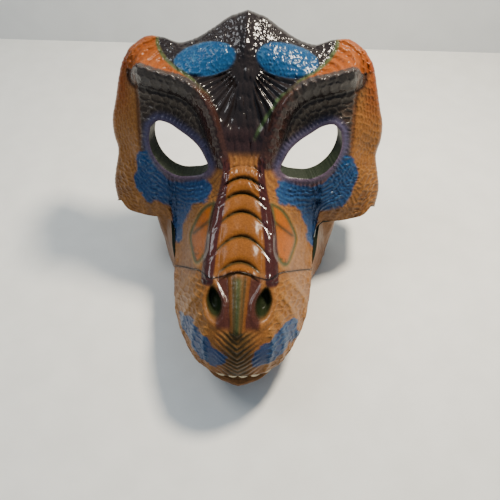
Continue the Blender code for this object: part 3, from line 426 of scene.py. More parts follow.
def broad_height(x, up):
    """Height of the moulding's main form, which its inner face follows."""
    return FACE_SHEET(x, up) + brow_ridge(x, up)


def carved_height(x, up):
    """Height of the outer face, with its large carving."""
    carving = stripe_ridge(x, up) + crest_keel(x, up) + snout_plates(x, up) + nose_keel(x, up)
    carving = carving + crown_ovals(x, up) + lip_scallops(x, up) + nostril_rim(x, up)
    return broad_height(x, up) + carving - nostril_pocket(x, up)


def face_normal(x, up, height):
    """Unit normal of a height function, on the face plane's axes."""
    step = NORMAL_STEP
    slope_x = (height(x + step, up) - height(x - step, up)) / (2 * step)
    slope_up = (height(x, up + step) - height(x, up - step)) / (2 * step)
    normal = np.stack([-slope_x, -slope_up, np.ones(np.shape(x))], axis=-1)
    return unit(normal)


def inner_face(x, up):
    """The inside of the wall: the broad form moved in by the wall, with room for the nostrils."""
    def pocketed(a, b):
        return broad_height(a, b) - nostril_pocket(a, b, margin=WALL)

    out = pocketed(x, up)
    return np.stack([x, up, out], axis=-1) - WALL * face_normal(x, up, pocketed)


def coons(top, bottom, inner, outer):
    """Fill four edges with a grid. top and bottom run outwards, inner and outer run down."""
    s = np.linspace(0, 1, len(top))[None, :, None]
    t = np.linspace(0, 1, len(inner))[:, None, None]
    ruled = (1 - t) * top[None] + t * bottom[None] + (1 - s) * inner[:, None] + s * outer[:, None]
    corners_above = (1 - s) * (1 - t) * top[0] + s * (1 - t) * top[-1]
    corners_below = (1 - s) * t * bottom[0] + s * t * bottom[-1]
    return ruled - (corners_above + corners_below)


def face_grid(columns, rows):
    """Half grid of (x, up) places over the face moulding, from the crown to the seam."""
    s = np.linspace(0, 1, columns + 1)
    seam_columns = round(columns * SEAM_SHARE)
    mouth_columns = round(columns * MOUTH_SHARE)
    cheek_columns = columns - seam_columns - mouth_columns
    seam = spline(SEAM, np.linspace(0, 1, seam_columns + 1))
    mouth = spline(MOUTH_EDGE[::-1], np.linspace(0, 1, mouth_columns + 1))
    cheek = spline(CHEEK_EDGE[::-1], np.linspace(0, 1, cheek_columns + 1))
    seam[:, 1] += TOUCH_GAP / 2
    bottom = np.concatenate([seam, mouth[1:], cheek[1:]])
    top = spline(CROWN_EDGE, s)
    side = spline(SIDE_EDGE, np.linspace(0, 1, rows + 1))
    middle = np.stack([np.zeros(rows + 1), np.linspace(top[0, 1], bottom[0, 1], rows + 1)], axis=-1)
    return coons(top, bottom, middle, side)


def nose_grid(columns, rows):
    """Half grid of (x, up) places over the nose moulding, from the seam to the lip."""
    top = spline(SEAM, np.linspace(0, 1, columns + 1))
    top[:, 1] -= TOUCH_GAP / 2
    bottom = spline(LIP_FRONT, np.linspace(0, 1, columns + 1))
    side = spline(LIP_SIDE, np.linspace(0, 1, rows + 1))
    side[0] = top[-1]
    middle = np.stack([np.zeros(rows + 1), np.linspace(top[0, 1], bottom[0, 1], rows + 1)], axis=-1)
    return coons(top, bottom, middle, side)


def mirror_grid(half):
    """Both halves of a grid, left to right."""
    left = half[:, :0:-1].copy()
    left[..., 0] *= -1
    return np.concatenate([left, half], axis=1)


def grid_faces(rows, columns):
    """Quads of a grid of vertices numbered row by row, facing the viewer."""
    faces = []
    for r in range(rows - 1):
        for c in range(columns - 1):
            a = r * columns + c
            faces.append((a, a + columns, a + columns + 1, a + 1))
    return faces


def boundary_loops(faces):
    """Closed loops of the edges that only one face uses, in face order."""
    edges = {}
    for face in faces:
        for a, b in zip(face, face[1:] + face[:1]):
            edges[(a, b)] = True
    following = {a: b for a, b in edges if (b, a) not in edges}
    loops = []
    while following:
        start = next(iter(following))
        loop = [start]
        here = following.pop(start)
        while here != start:
            loop.append(here)
            here = following.pop(here)
        loops.append(loop)
    return loops


def zip_loops(points, loop_a, loop_b):
    """Triangles that join two closed loops of vertices which run the same way round."""
    a = points[loop_a]
    shift = np.linalg.norm(points[loop_b] - a[0], axis=1).argmin()
    loop_b = loop_b[shift:] + loop_b[:shift]
    b = points[loop_b]

    def shares(loop):
        steps = np.linalg.norm(np.roll(loop, -1, axis=0) - loop, axis=1)
        return np.concatenate([[0.0], np.cumsum(steps)]) / steps.sum()

    share_a, share_b = shares(a), shares(b)
    i = j = 0
    faces = []
    while i < len(loop_a) or j < len(loop_b):
        here_a, here_b = loop_a[i % len(loop_a)], loop_b[j % len(loop_b)]
        if j == len(loop_b) or (i < len(loop_a) and share_a[i + 1] <= share_b[j + 1]):
            faces.append((here_a, here_b, loop_a[(i + 1) % len(loop_a)]))
            i += 1
        else:
            faces.append((here_a, here_b, loop_b[(j + 1) % len(loop_b)]))
            j += 1
    return faces


def eye_outline(samples=120, spread=0.0):
    """The eye hole's rim on the right side, moved out by spread."""
    closed = EYE_OUTLINE + EYE_OUTLINE[:1]
    curve = spline(closed, np.linspace(0, 1, samples + 1))[:-1]
    along = np.roll(curve, -1, axis=0) - np.roll(curve, 1, axis=0)
    outwards = unit(np.stack([-along[:, 1], along[:, 0]], axis=-1))
    if np.cross(curve[1] - curve[0], curve.mean(axis=0) - curve[0]) < 0:
        outwards = -outwards
    return curve - spread * outwards


def inside_outline(place, outline):
    """True where (|x|, up) is inside a closed outline."""
    x, up = np.abs(place[:, 0]), place[:, 1]
    inside = np.zeros(len(place), bool)
    for (ax, au), (bx, bu) in zip(outline, np.roll(outline, -1, axis=0)):
        crosses = (au > up) != (bu > up)
        with np.errstate(divide="ignore", invalid="ignore"):
            inside ^= crosses & (x < (bx - ax) * (up - au) / (bu - au) + ax)
    return inside


def spread_on_rim(loop_places, rim):
    """Rim place for each vertex of a hole's edge, near it and in the same order, no two together."""
    gaps = np.linalg.norm(loop_places[:, None, :] - rim[None, :, :], axis=-1)
    nearest = gaps.argmin(axis=1)
    count = len(rim)
    steps = np.mod(np.diff(nearest) + count // 2, count) - count // 2
    turn = 1 if steps.sum() > 0 else -1
    along = np.sort(np.concatenate([[0], np.cumsum(steps * turn)]))
    even = np.arange(len(nearest)) * count / len(nearest)
    even += (along - even).mean()
    numbers = nearest[0] + turn * (RIM_EVENNESS * even + (1 - RIM_EVENNESS) * along)
    low = np.floor(numbers).astype(int)
    part = (numbers - low)[:, None]
    return rim[low % count] * (1 - part) + rim[(low + 1) % count] * part


def cut_eyes(places, faces, spread):
    """Leave out the faces in the eye holes and draw the edge of each hole onto its rim."""
    outline = eye_outline(EYE_SAMPLES, spread)
    centres = np.array([places[list(face)].mean(axis=0) for face in faces])
    inside = inside_outline(centres, outline)
    faces = [face for face, gone in zip(faces, inside) if not gone]
    holes = [loop for loop in boundary_loops(faces) if np.ptp(places[loop, 0]) < SIDE_EDGE[0][0]]
    for loop in holes:
        side = math.copysign(1.0, places[loop, 0].mean())
        places[loop] = spread_on_rim(places[loop], outline * (side, 1.0))
    return faces, holes


def rim_chain(grid_shape):
    """Vertex numbers round the moulding's free rim: up one side, over the crown and down the other."""
    rows, columns = grid_shape
    left = [r * columns for r in range(rows - 1, 0, -1)]
    top = list(range(columns))
    right = [r * columns + columns - 1 for r in range(1, rows)]
    return left + top + right


def rim_turn(places, chain, start_points, inset):
    """Rows of points that turn the moulding's edge back round the head, behind the given chain."""
    edge = places[chain]
    away = edge - np.asarray(RIM_CENTRE)
    away[:, 1] = np.clip(away[:, 1], 0.0, None)
    away = unit(away)
    upwards = smooth_step(RIM_SIDE_UP_TO, 1.0, away[:, 1])
    radius = RIM_TURN_RADIUS - inset
    rows = []
    turn_rows = RIM_ROWS // 2
    for k in range(1, RIM_ROWS + 1):
        angle = RIM_TURN_START + (math.pi / 2 - RIM_TURN_START) * min(k / turn_rows, 1.0)
        swing = radius * (math.sin(angle) - math.sin(RIM_TURN_START))
        sink = radius * (math.cos(RIM_TURN_START) - math.cos(angle))
        back = max(0, k - turn_rows) / (RIM_ROWS - turn_rows)
        depth = back * (RIM_DEPTH_SIDE + (RIM_DEPTH_TOP - RIM_DEPTH_SIDE) * upwards)
        lift = RIM_LIFT * depth * (1 - upwards)
        row = start_points + 0.0
        row[:, :2] += away * swing
        row[:, 1] += lift
        row[:, 2] -= sink + depth
        rows.append(row)
    return rows


def face_surface(columns, rows, outside):
    """Points and faces of one side of the face moulding's wall, with its border and eye hole loops."""
    grid = mirror_grid(face_grid(columns, rows))
    shape = grid.shape[:2]
    places = grid.reshape(-1, 2).copy()
    faces = grid_faces(*shape)
    chain = rim_chain(shape)
    faces, holes = cut_eyes(places, faces, 0.0 if outside else COLLAR_WALL)
    points = (detailed_face if outside else inner_face)(places[:, 0], places[:, 1])
    turned = rim_turn(places, chain, points[chain], 0.0 if outside else WALL)
    previous = chain
    for row in turned:
        first = len(points)
        points = np.concatenate([points, row])
        numbers = list(range(first, first + len(row)))
        for a, b, c, d in zip(previous[:-1], previous[1:], numbers[1:], numbers[:-1]):
            faces.append((a, b, c, d))
        previous = numbers
    border = max(boundary_loops(faces), key=len)
    return points, faces, border, holes


def join_walls(outer, inner):
    """One closed body from the outer and inner sides of a wall. Loops pair up by place."""
    outer_points, outer_faces, outer_loops = outer
    inner_points, inner_faces, inner_loops = inner
    offset = len(outer_points)
    points = np.concatenate([outer_points, inner_points])
    faces = list(outer_faces)
    faces += [tuple(v + offset for v in reversed(face)) for face in inner_faces]
    for outer_loop, inner_loop in zip(outer_loops, inner_loops):
        faces += zip_loops(points, list(outer_loop), [v + offset for v in inner_loop])
    return points, faces


def collar_rings(points, holes):
    """Rings of points that carry each eye hole's rim back into the head, then out to a wall's thickness."""
    rings = []
    for loop in holes:
        side = math.copysign(1.0, points[loop, 0].mean())
        rim = points[loop]
        along = np.roll(rim, -1, axis=0)[:, :2] - np.roll(rim, 1, axis=0)[:, :2]
        outwards = np.stack([along[:, 1], -along[:, 0]], axis=-1)
        outwards /= np.maximum(np.linalg.norm(outwards, axis=1, keepdims=True), 1e-6)
        centre = rim[:, :2].mean(axis=0)
        if ((rim[:, :2] - centre) * outwards).sum() < 0:
            outwards = -outwards
        back = np.array([-side * COLLAR_LEAN, COLLAR_DEPTH * math.sin(FACE_LEAN),
                         -COLLAR_DEPTH * math.cos(FACE_LEAN)])
        end = rim + back
        thick = end.copy()
        thick[:, :2] += outwards * COLLAR_WALL
        rings.append((end, thick))
    return rings


def hashed(column, row, salt):
    """A repeatable number from 0 to 1 for each cell of a lattice."""
    value = np.sin(column * 127.1 + row * 311.7 + salt * 74.7) * 43758.5453
    return value - np.floor(value)


def soft_noise(u, v, salt):
    """Smooth noise from 0 to 1, one swell to a unit."""
    column, row = np.floor(u), np.floor(v)
    a, b = u - column, v - row
    a, b = a * a * (3 - 2 * a), b * b * (3 - 2 * b)
    low = hashed(column, row, salt) * (1 - a) + hashed(column + 1, row, salt) * a
    high = hashed(column, row + 1, salt) * (1 - a) + hashed(column + 1, row + 1, salt) * a
    return low * (1 - b) + high * b


def rough_noise(u, v, salt, layers=3):
    """Soft noise in layers of halving size, about -1 to 1."""
    total = np.zeros(np.shape(u))
    for layer in range(layers):
        total = total + (soft_noise(u * 2**layer, v * 2**layer, salt + layer) - 0.5) / 2**layer
    return total


def scale_cells(across, along, pattern, sway=0.0):
    """Staggered cells: nearness of the border (0 on it), distance to the cell's middle, and a number each."""
    pitch_across, pitch_along, salt, jitter = pattern
    u, v = across / pitch_across + sway, along / pitch_along
    base_column, base_row = np.floor(u), np.floor(v)
    near = np.full(np.shape(u), np.inf)
    second = near.copy()
    number = np.zeros(np.shape(u))
    for dc in (-1, 0, 1):
        for dr in (-1, 0, 1):
            column, row = base_column + dc, base_row + dr
            stagger = 0.5 * (np.mod(row, 2) - 0.5)
            middle_u = column + 0.5 + stagger + jitter * (hashed(column, row, salt) - 0.5)
            middle_v = row + 0.5 + jitter * (hashed(column, row, salt + 1) - 0.5)
            gap = np.hypot(u - middle_u, v - middle_v)
            closer = gap < near
            second = np.where(closer, near, np.minimum(second, gap))
            number = np.where(closer, hashed(column, row, salt + 2), number)
            near = np.minimum(near, gap)
    return second - near, near, number


def closed_line(points, samples=160):
    """A smooth closed outline through points, as many places."""
    closed = tuple(points) + (points[0],)
    return spline(closed, np.linspace(0, 1, samples + 1))[:-1]


def outline_depth(x, up, outline):
    """How deep each (|x|, up) is inside an outline, minus outside it, in mm."""
    place = np.stack([np.abs(x).ravel(), np.ravel(up)], axis=-1)
    _, gap = near_points(place, outline)
    inside = inside_outline(place, outline)
    return np.where(inside, gap, -gap).reshape(np.shape(x))


# Places of the sprayed and moulded details, right half, as (x, up)
EAR_LINE = ((68, 192), (67.5, 184), (60, 170), (52, 162.5), (40, 154), (32, 146), (25, 141), (17, 130),
            (9, 116), (5, 100))
BLUE_PATCH = ((88, 101), (79, 104), (69, 88), (56, 80), (42, 78.5), (31, 80), (24.5, 74.5), (31, 64),
              (43, 59), (50, 46), (54, 32), (58, 30), (61, 42), (60.5, 57), (70, 62), (84, 65),
              (90.5, 73), (92.5, 86))
SIDE_PATCH = ((22, 63), (28, 60), (38, 47), (42, 36), (39, 26.5), (34, 18.5), (26, 27), (25, 40), (24, 52))
NOSE_BLUE = ((46, -22), (37, -20.5), (28, -28), (18.5, -35.5), (10.5, -43), (12.5, -53), (24, -51), (35, -43),
             (44.5, -34))
STRIPE_PLACE = ((12.5, 98), (13.5, 84), (16.9, 63), (21, 42), (22.8, 21), (23.4, 8))
FOLD_LINES = (((25, -10), (31, -22), (34, -36), (33, -50)), ((28, 2), (38, -12), (44, -28), (44, -40)),
              ((33, 10), (46, -2), (52, -16), (52, -26)), ((22, -20), (25, -32), (24, -46), (21, -58)))
PATCH_BAR = ((23, 51), (39, 39))
CHEVRON_TOP, CHEVRON_PITCH, CHEVRON_SLOPE = -24.0, 4.0, 0.75
EYE_RIM = eye_outline()
EYE_RIM_LENGTH = 150.0
RAY_TOP, RAY_COUNT = 166.0, 36

# Folds and grooves that are both moulded and darkened with painted shade
TEMPLE_FOLD, TEMPLE_FOLD_START, TEMPLE_FOLD_END = 84.5, (104, 116), (156, 164)
BROW_GROOVE, BROW_GROOVE_START = 1.6, (86.0, 96.0)

# Scale patterns: pitch across and along in mm, the pattern's own number, and how far its cells stray
CROWN_PEBBLES = (2.3, 2.3, 5, 0.55)
FOREHEAD_DROPS = (4.0, 11.0, 9, 0.35)
OVAL_CRACKLE = (6.0, 3.6, 13, 0.9)
BROW_PEBBLES = (2.4, 2.4, 23, 0.55)
SOCKET_SCALES = (7.6, 4.4, 31, 0.45)
TEMPLE_NET = (3.0, 5.4, 41, 0.45)
CHEEK_NET = (7.0, 3.6, 51, 0.5)
EAR_SCALES = (3.0, 3.0, 61, 0.55)
SNOUT_SCALES = (4.4, 3.2, 71, 0.6)
PATCH_GRAIN = (2.4, 2.0, 73, 0.55)
NOSE_SCALES = (5.0, 4.2, 81, 0.7)

# Heights of the small relief
PEBBLE_HEIGHT, RAY_HEIGHT, DROP_HEIGHT, CRACKLE_HEIGHT = 0.75, 0.95, 2.2, 0.75
BROW_PEBBLE_HEIGHT, FIBRE_HEIGHT, BROW_GROOVE_DEPTH = 0.6, 0.9, 1.8
SOCKET_HEIGHT, TEMPLE_HEIGHT, TEMPLE_FOLD_DEPTH, CHEEK_HEIGHT = 1.1, 0.65, 1.2, 0.95
EYE_ROLL_HEIGHT, EYE_WRINKLE_HEIGHT, UNDER_EYE_HEIGHT = 0.9, 0.45, 0.5
EAR_FOLD_HEIGHT, EAR_SCALE_HEIGHT = 0.9, 0.35
SNOUT_SCALE_HEIGHT, PATCH_RIM_HEIGHT, PATCH_GROOVE_DEPTH, PATCH_GRAIN_HEIGHT = 0.6, 0.8, 0.5, 0.25
PLATE_GAP_WIDTH, PLATE_GAP_DEPTH = 1.15, 0.8
KEEL_GROOVE_DEPTH, CHEVRON_HEIGHT, NOSE_FOLD_HEIGHT, NOSE_SCALE_HEIGHT = 0.6, 0.5, 1.3, 0.9
GRAIN_HEIGHT = 0.25


class Places:
    """Where each point of the face is, measured from the main lines of the carving."""

    def __init__(self, x, up):
        self.x, self.up, self.ax = x, up, np.abs(x)
        below_brow, self.brow_along = follow_curve(x, up, BROW_LINE)
        self.brow = -below_brow
        self.ear, self.ear_along = follow_curve(x, up, EAR_LINE)
        outside_stripe, _ = follow_curve(x, up, STRIPE_PLACE)
        self.stripe = -outside_stripe
        self.eye = -outline_depth(x, up, EYE_RIM)
        _, around, _, _ = near_curve(x, up, np.concatenate([EYE_RIM, EYE_RIM[:1]]), samples=240)
        self.eye_around = around * EYE_RIM_LENGTH
        self.blue = outline_depth(x, up, closed_line(BLUE_PATCH))
        self.patch = outline_depth(x, up, closed_line(SIDE_PATCH))
        self.nose_blue = outline_depth(x, up, closed_line(NOSE_BLUE))
        self.oval = oval_place(x, up)
        self.wander = rough_noise(x / 9.0, up / 9.0, 3)
        self.grain = rough_noise(x / 2.2, up / 2.2, 17)
        above_brow = smooth_step(-1.0, 1.0, self.brow)
        self.upper = above_brow
        outside_ear = smooth_fall(-1.5, 1.5, -self.ear)
        off_middle = smooth_step(18.0, 34.0, self.ax)
        self.ear_zone = above_brow * outside_ear * off_middle * smooth_step(138, 150, up)
        self.crown_zone = smooth_step(94.0, 104.0, up) * above_brow * (1 - self.ear_zone)
        roll_top = 1 - smooth_step(BROW_WIDTH_ABOVE, BROW_WIDTH_ABOVE + 1.5, self.brow)
        self.brow_zone = roll_top * smooth_step(-BROW_WIDTH_BELOW - 1.0, -BROW_WIDTH_BELOW + 1.0, self.brow)
        below = (1 - above_brow) * smooth_step(0.0, 3.0, self.eye)
        self.socket_zone = below * smooth_step(86.0, 98.0, up) * smooth_fall(82.0, 87.0, self.ax) * (up > 84)
        beside_eye = smooth_step(82.0, 88.0, self.ax) * smooth_step(96.0, 108.0, up)
        self.temple_zone = beside_eye * (1 - self.crown_zone)
        self.cheek_zone = smooth_step(62.0, 74.0, self.ax) * smooth_fall(92.0, 108.0, up)
        self.snout_zone = smooth_fall(76.0, 90.0, up) * (1 - self.cheek_zone)
        self.nose_zone = 1 - smooth_step(8.0, 14.0, up)


def crown_relief(at):
    """Pebbles round the crest, rays and drops down the forehead, and crackle on the ovals."""
    _, near, number = scale_cells(at.x, at.up, CROWN_PEBBLES)
    pebble = PEBBLE_HEIGHT * dome(near, 0.62) * (0.5 + number)
    below = RAY_TOP - at.up
    reach, angle = np.hypot(at.ax, below), np.arctan2(at.ax, below)
    swing = angle * RAY_COUNT + 0.8 * at.wander
    ray = RAY_HEIGHT * np.cos(swing) * smooth_step(8, 16, reach)
    ray = ray * (0.75 + 0.5 * soft_noise(swing / 5.0, reach / 14.0, 7))
    _, near, number = scale_cells(at.x, at.up, FOREHEAD_DROPS)
    drop = DROP_HEIGHT * dome(near, 0.7) * (0.6 + 0.6 * number) - 0.5
    low = np.maximum(smooth_fall(112, 128, at.up), smooth_fall(4.0, 8.0, at.ax))
    edge, _, _ = scale_cells(at.x, at.up, OVAL_CRACKLE, at.wander)
    crackle = CRACKLE_HEIGHT * smooth_fall(0.0, 0.2, edge)
    lobes = smooth_fall(0.86, 1.02, at.oval)
    high = smooth_step(RAY_TOP - 8, RAY_TOP + 2, at.up)
    plain = pebble * high + (1 - high) * (ray * (1 - low) + drop * low)
    return plain * (1 - lobes) + crackle * lobes


def brow_groove(at, width):
    return bell(at.brow + BROW_WIDTH_BELOW + BROW_GROOVE, width) * smooth_step(*BROW_GROOVE_START, at.up)


def brow_relief(at):
    """Lengthwise fibres on the outer brow and pebbles on the inner brow, with a groove under both."""
    fibre = FIBRE_HEIGHT * rough_noise(at.brow / 1.6, at.brow_along / 11.0, 21)
    _, near, _ = scale_cells(at.brow_along, at.brow, BROW_PEBBLES)
    pebble = BROW_PEBBLE_HEIGHT * dome(near, 0.6)
    inner = smooth_step(42.0, 56.0, at.brow_along)
    return at.brow_zone * (fibre * (1 - inner) + pebble * inner) - BROW_GROOVE_DEPTH * brow_groove(at, 1.5)


def socket_relief(at):
    """Scales in the sockets, long ones that fan out from under the brow."""
    edge, _, _ = scale_cells(at.brow_along, at.brow, SOCKET_SCALES)
    net = SOCKET_HEIGHT * smooth_fall(0.0, 0.34, edge) - 0.2
    return at.socket_zone * net * smooth_step(3.0, 8.0, at.eye)


def eye_relief(at):
    """A rolled rim round each eye hole, short wrinkles across it and long ones below it."""
    rolled = EYE_ROLL_HEIGHT * bell(at.eye - 2.0, 1.5)
    across = EYE_WRINKLE_HEIGHT * np.cos(2 * math.pi * (at.eye_around / 3.1 + 0.4 * at.wander))
    across = across * bell(at.eye - 5.5, 2.6)
    ring = smooth_step(6.0, 9.0, at.eye) * smooth_fall(22.0, 32.0, at.eye)
    below = smooth_step(0.0, 8.0, 104 - at.up) * ring * (1 - 0.4 * smooth_step(70.0, 84.0, at.ax))
    along = np.cos(2 * math.pi * (at.eye / 3.3 + 1.3 * at.wander)) * UNDER_EYE_HEIGHT
    return rolled + across + along * below


def temple_fold(at, width):
    upright = smooth_step(*TEMPLE_FOLD_START, at.up) * smooth_fall(*TEMPLE_FOLD_END, at.up)
    return bell(at.ax - TEMPLE_FOLD, width) * upright


def temple_relief(at):
    """A raised net round upright diamonds on the temples."""
    edge, _, _ = scale_cells(at.x, at.up + at.ax * 5.4 / 22.0, TEMPLE_NET, 0.6 * at.wander)
    net = TEMPLE_HEIGHT * smooth_fall(0.0, 0.34, edge)
    return at.temple_zone * net - TEMPLE_FOLD_DEPTH * temple_fold(at, 1.3)


def cheek_relief(at):
    """Wavy wrinkles that meet in diamonds on the cheeks."""
    sway = at.up + 5.0 * np.sin(at.ax / 6.5) + 5.0 * at.wander
    edge, _, number = scale_cells(at.ax + 0.5 * sway, sway, CHEEK_NET)
    return at.cheek_zone * (CHEEK_HEIGHT * smooth_fall(0.0, 0.36, edge) + 0.3 * (number - 0.5))


def ear_relief(at):
    """Curved folds over the ears."""
    reach = np.hypot(at.ax - 60, at.up - 158)
    fold = EAR_FOLD_HEIGHT * np.cos(2 * math.pi * (reach / 6.4 + 0.7 * at.wander))
    edge, _, _ = scale_cells(at.x, at.up, EAR_SCALES)
    return at.ear_zone * (fold + EAR_SCALE_HEIGHT * smooth_step(0.0, 0.3, edge))


def plate_gap(at):
    """Nearness of the grooves between the snout's plates, 1 in a groove."""
    arched = arched_up(at.x, at.up)
    gap = np.min([np.abs(arched - edge) for edge in PLATE_EDGES], axis=0)
    return bell(gap, PLATE_GAP_WIDTH) * (at.stripe > 0)


def snout_relief(at):
    """Scales on the sides of the snout, the patch rims and the grooves between the plates."""
    lean = at.ax * 0.8 + at.up * 0.6
    edge, _, number = scale_cells(lean, at.up - 0.5 * at.ax, SNOUT_SCALES, at.wander)
    net = SNOUT_SCALE_HEIGHT * smooth_fall(0.0, 0.34, edge) + 0.25 * (number - 0.5)
    side = smooth_step(3.0, 6.0, -at.stripe) * smooth_fall(-2.0, 1.0, at.patch)
    rim = PATCH_RIM_HEIGHT * bell(at.patch + 2.2, 1.0) - PATCH_GROOVE_DEPTH * bell(at.patch, 1.0)
    edge, _, _ = scale_cells(at.x, at.up, PATCH_GRAIN)
    grain = PATCH_GRAIN_HEIGHT * smooth_step(0.0, 0.3, edge) * smooth_step(0.0, 1.5, at.patch)
    groove = PLATE_GAP_DEPTH * plate_gap(at) * (1 - at.nose_zone) * smooth_step(14, 20, at.up)
    return at.snout_zone * (net * side * (1 - at.nose_zone) + rim + grain) - groove * (at.up < PLATE_EDGES[0])


def nose_relief(at):
    """Grooves along the keel, chevrons below it, and folds that sweep from the nostrils to the lip."""
    _, half = keel_span(at.up)
    on_keel = smooth_fall(half - 1, half, at.ax) * smooth_step(KEEL_END - 2, KEEL_END + 2, at.up)
    keel = -KEEL_GROOVE_DEPTH * bell(at.ax / half - 0.45, 0.12) * on_keel
    vee = at.up - CHEVRON_SLOPE * at.ax
    wave = np.cos(2 * math.pi * (vee - CHEVRON_TOP) / CHEVRON_PITCH + 2.6 * at.wander)
    reach = smooth_fall(10.0, 19.0, at.ax) * smooth_step(0.0, 3.0, CHEVRON_TOP + 0.5 - at.up)
    chevron = CHEVRON_HEIGHT * wave * reach
    folds = np.zeros(np.shape(at.x))
    for line in FOLD_LINES:
        gap, along = follow_curve(at.x, at.up, line, samples=60)
        folds = folds + NOSE_FOLD_HEIGHT * bell(gap + 1.2 * at.wander, 1.7) * smooth_step(0.0, 7.0, along)
    edge, _, number = scale_cells(at.ax, at.up, NOSE_SCALES, at.wander)
    scales = (NOSE_SCALE_HEIGHT * smooth_fall(0.0, 0.3, edge) + 0.4 * number) * smooth_step(17.0, 25.0, at.ax)
    clear = smooth_step(1.15, 1.6, nostril_place(at.x, at.up))
    return at.nose_zone * (keel + (chevron + folds + scales) * clear)


def fine_relief(at):
    """All of the face's small relief, in mm."""
    parts = (brow_relief, socket_relief, eye_relief, temple_relief, cheek_relief, ear_relief, snout_relief,
             nose_relief)
    relief = sum(part(at) for part in parts)
    return relief + at.crown_zone * (1 - at.brow_zone) * crown_relief(at) + GRAIN_HEIGHT * at.grain


# Paint, as linear red, green and blue
TAN = (0.195, 0.078, 0.020)
# Pale tan that only goes on raised relief, as painted highlight
RIDGE_HIGHLIGHT_TAN = (0.28, 0.13, 0.038)
PATCH_ORANGE = (0.28, 0.070, 0.005)
ORANGE = (0.18, 0.040, 0.006)
RED_ORANGE = (0.17, 0.026, 0.006)
PLATE_TAN = (0.150, 0.052, 0.010)
CROWN_BLUE = (0.006, 0.038, 0.100)
# Pale blue that only goes on raised relief, as painted highlight
RIDGE_HIGHLIGHT_BLUE = (0.03, 0.095, 0.17)
DEEP_BLUE = (0.005, 0.038, 0.110)
BLACK = (0.012, 0.009, 0.009)
MAROON = (0.032, 0.008, 0.008)
BROW_GREY = (0.036, 0.028, 0.025)
BROW_BROWN = (0.03, 0.013, 0.010)
SOCKET_BROWN = (0.032, 0.021, 0.015)
# Pale socket colour that only goes on raised relief, as painted highlight
SOCKET_RIDGE_HIGHLIGHT = (0.11, 0.085, 0.065)
EYE_PURPLE = (0.05, 0.045, 0.085)
DARK_GREEN = (0.010, 0.017, 0.007)
LINE_GREEN = (0.035, 0.058, 0.022)
BROWN = (0.095, 0.04, 0.018)
JAW_BROWN = (0.18, 0.078, 0.028)
BARE_DARK, BARE_PALE = (0.007, 0.011, 0.005), (0.013, 0.019, 0.009)
TOOTH_DARK, TOOTH_PALE = (0.50, 0.40, 0.24), (0.62, 0.52, 0.34)
TABLE_DARK, TABLE_PALE = (0.73, 0.72, 0.675), (0.77, 0.76, 0.715)
WALL_DARK, WALL_PALE = (0.60, 0.61, 0.61), (0.63, 0.64, 0.64)

# How far up the face the green line beside each ear stops, left and right
GREEN_LINE_STOPS = (146.0, 114.0)

# Blue patch on each side of the jaw, as (y, z)
JAW_BLUE = ((-2, 40), (-12, 42), (-22, 34), (-20, 22), (-8, 20), (0, 28))

# Stage: where the backdrop stands behind the table, at the left and the right end, and how far both reach
BACKDROP_LINE = (455.0, 400.0)
STAGE_HALF_WIDTH, TABLE_NEAR = 1400, -900
BACKDROP_FOOT, BACKDROP_TOP = -30, 900

# Lamps, as name, place, size in metres, power and colour. They point at one spot in the mask.
LAMP_TARGET = (0, 0, 60)
LAMPS = (("main lamp", (230, 130, 640), 0.11, 8.6, (1.0, 0.90, 0.74)),
         ("left lamp", (-430, 60, 820), 0.35, 3.2, (0.94, 0.97, 1.0)))
ROOM_LIGHT, ROOM_STRENGTH = (0.62, 0.80, 1.0, 1.0), 0.44


class Coat:
    """Colour and gloss of every point, laid on in layers."""

    def __init__(self, count, colour, gloss):
        self.colour = np.tile(np.asarray(colour, float), (count, 1))
        self.gloss = np.full(count, gloss)

    def spray(self, colour, cover, gloss=None):
        cover = np.clip(cover, 0.0, 1.0)
        self.colour += (np.asarray(colour, float) - self.colour) * cover[:, None]
        if gloss is not None:
            self.gloss += (gloss - self.gloss) * cover


def face_paint(at, relief):
    """The sprayed colours of the face, with painted highlight on its raised relief and painted shade in its
    hollows and along the seam.
    """
    coat = Coat(len(at.x), TAN, 0.55)
    # Pale tan on the raised relief is painted highlight; brown in the hollows below is painted shade.
    ridge_highlight = smooth_step(0.25, 0.8, relief)
    coat.spray(RIDGE_HIGHLIGHT_TAN, 0.55 * ridge_highlight)
    coat.spray(BROWN, 0.5 * smooth_fall(-0.4, 0.25, relief))
    coat.spray(ORANGE, 0.85 * at.ear_zone)
    coat.spray(RED_ORANGE, 0.6 * smooth_step(88, 98, at.ax) * smooth_step(120, 160, at.up))
    coat.spray(BROWN, 0.5 * at.cheek_zone * smooth_step(0.1, 0.35, at.wander))
    paint_crown(coat, at, ridge_highlight)
    paint_sockets(coat, at, ridge_highlight)
    paint_blue(coat, at, ridge_highlight)
    paint_snout(coat, at)
    paint_nose(coat, at, ridge_highlight)
    # A black line along the seam between the face and nose pieces: painted shade in the gap between them.
    seam, _ = follow_curve(at.x, at.up, SEAM)
    coat.spray(BLACK, 0.9 * bell(seam, 0.9))
    return coat


def paint_crown(coat, at, ridge_highlight):
    """Glossy black with blue ovals whose crackle carries painted highlight, and a green line beside each ear.
    """
    coat.spray(BLACK, at.crown_zone, 0.9)
    coat.spray(MAROON, 0.3 * at.crown_zone * smooth_fall(110, 130, at.up))
    lobe = smooth_fall(0.92, 1.04, at.oval + 0.05 * at.wander)
    coat.spray(CROWN_BLUE, lobe, 0.75)
    # Pale blue on the raised crackle of the ovals is painted highlight.
    coat.spray(RIDGE_HIGHLIGHT_BLUE, 0.7 * lobe * ridge_highlight)
    stop = np.where(at.x < 0, *GREEN_LINE_STOPS)
    line = np.exp(-((at.ear - 0.5 + 0.8 * at.wander) / 1.5) ** 4) * smooth_step(0.0, 6.0, at.ear_along)
    line = line * smooth_step(stop - 6.0, stop + 4.0, at.up)
    coat.spray(LINE_GREEN, 0.9 * line * at.upper, 0.6)


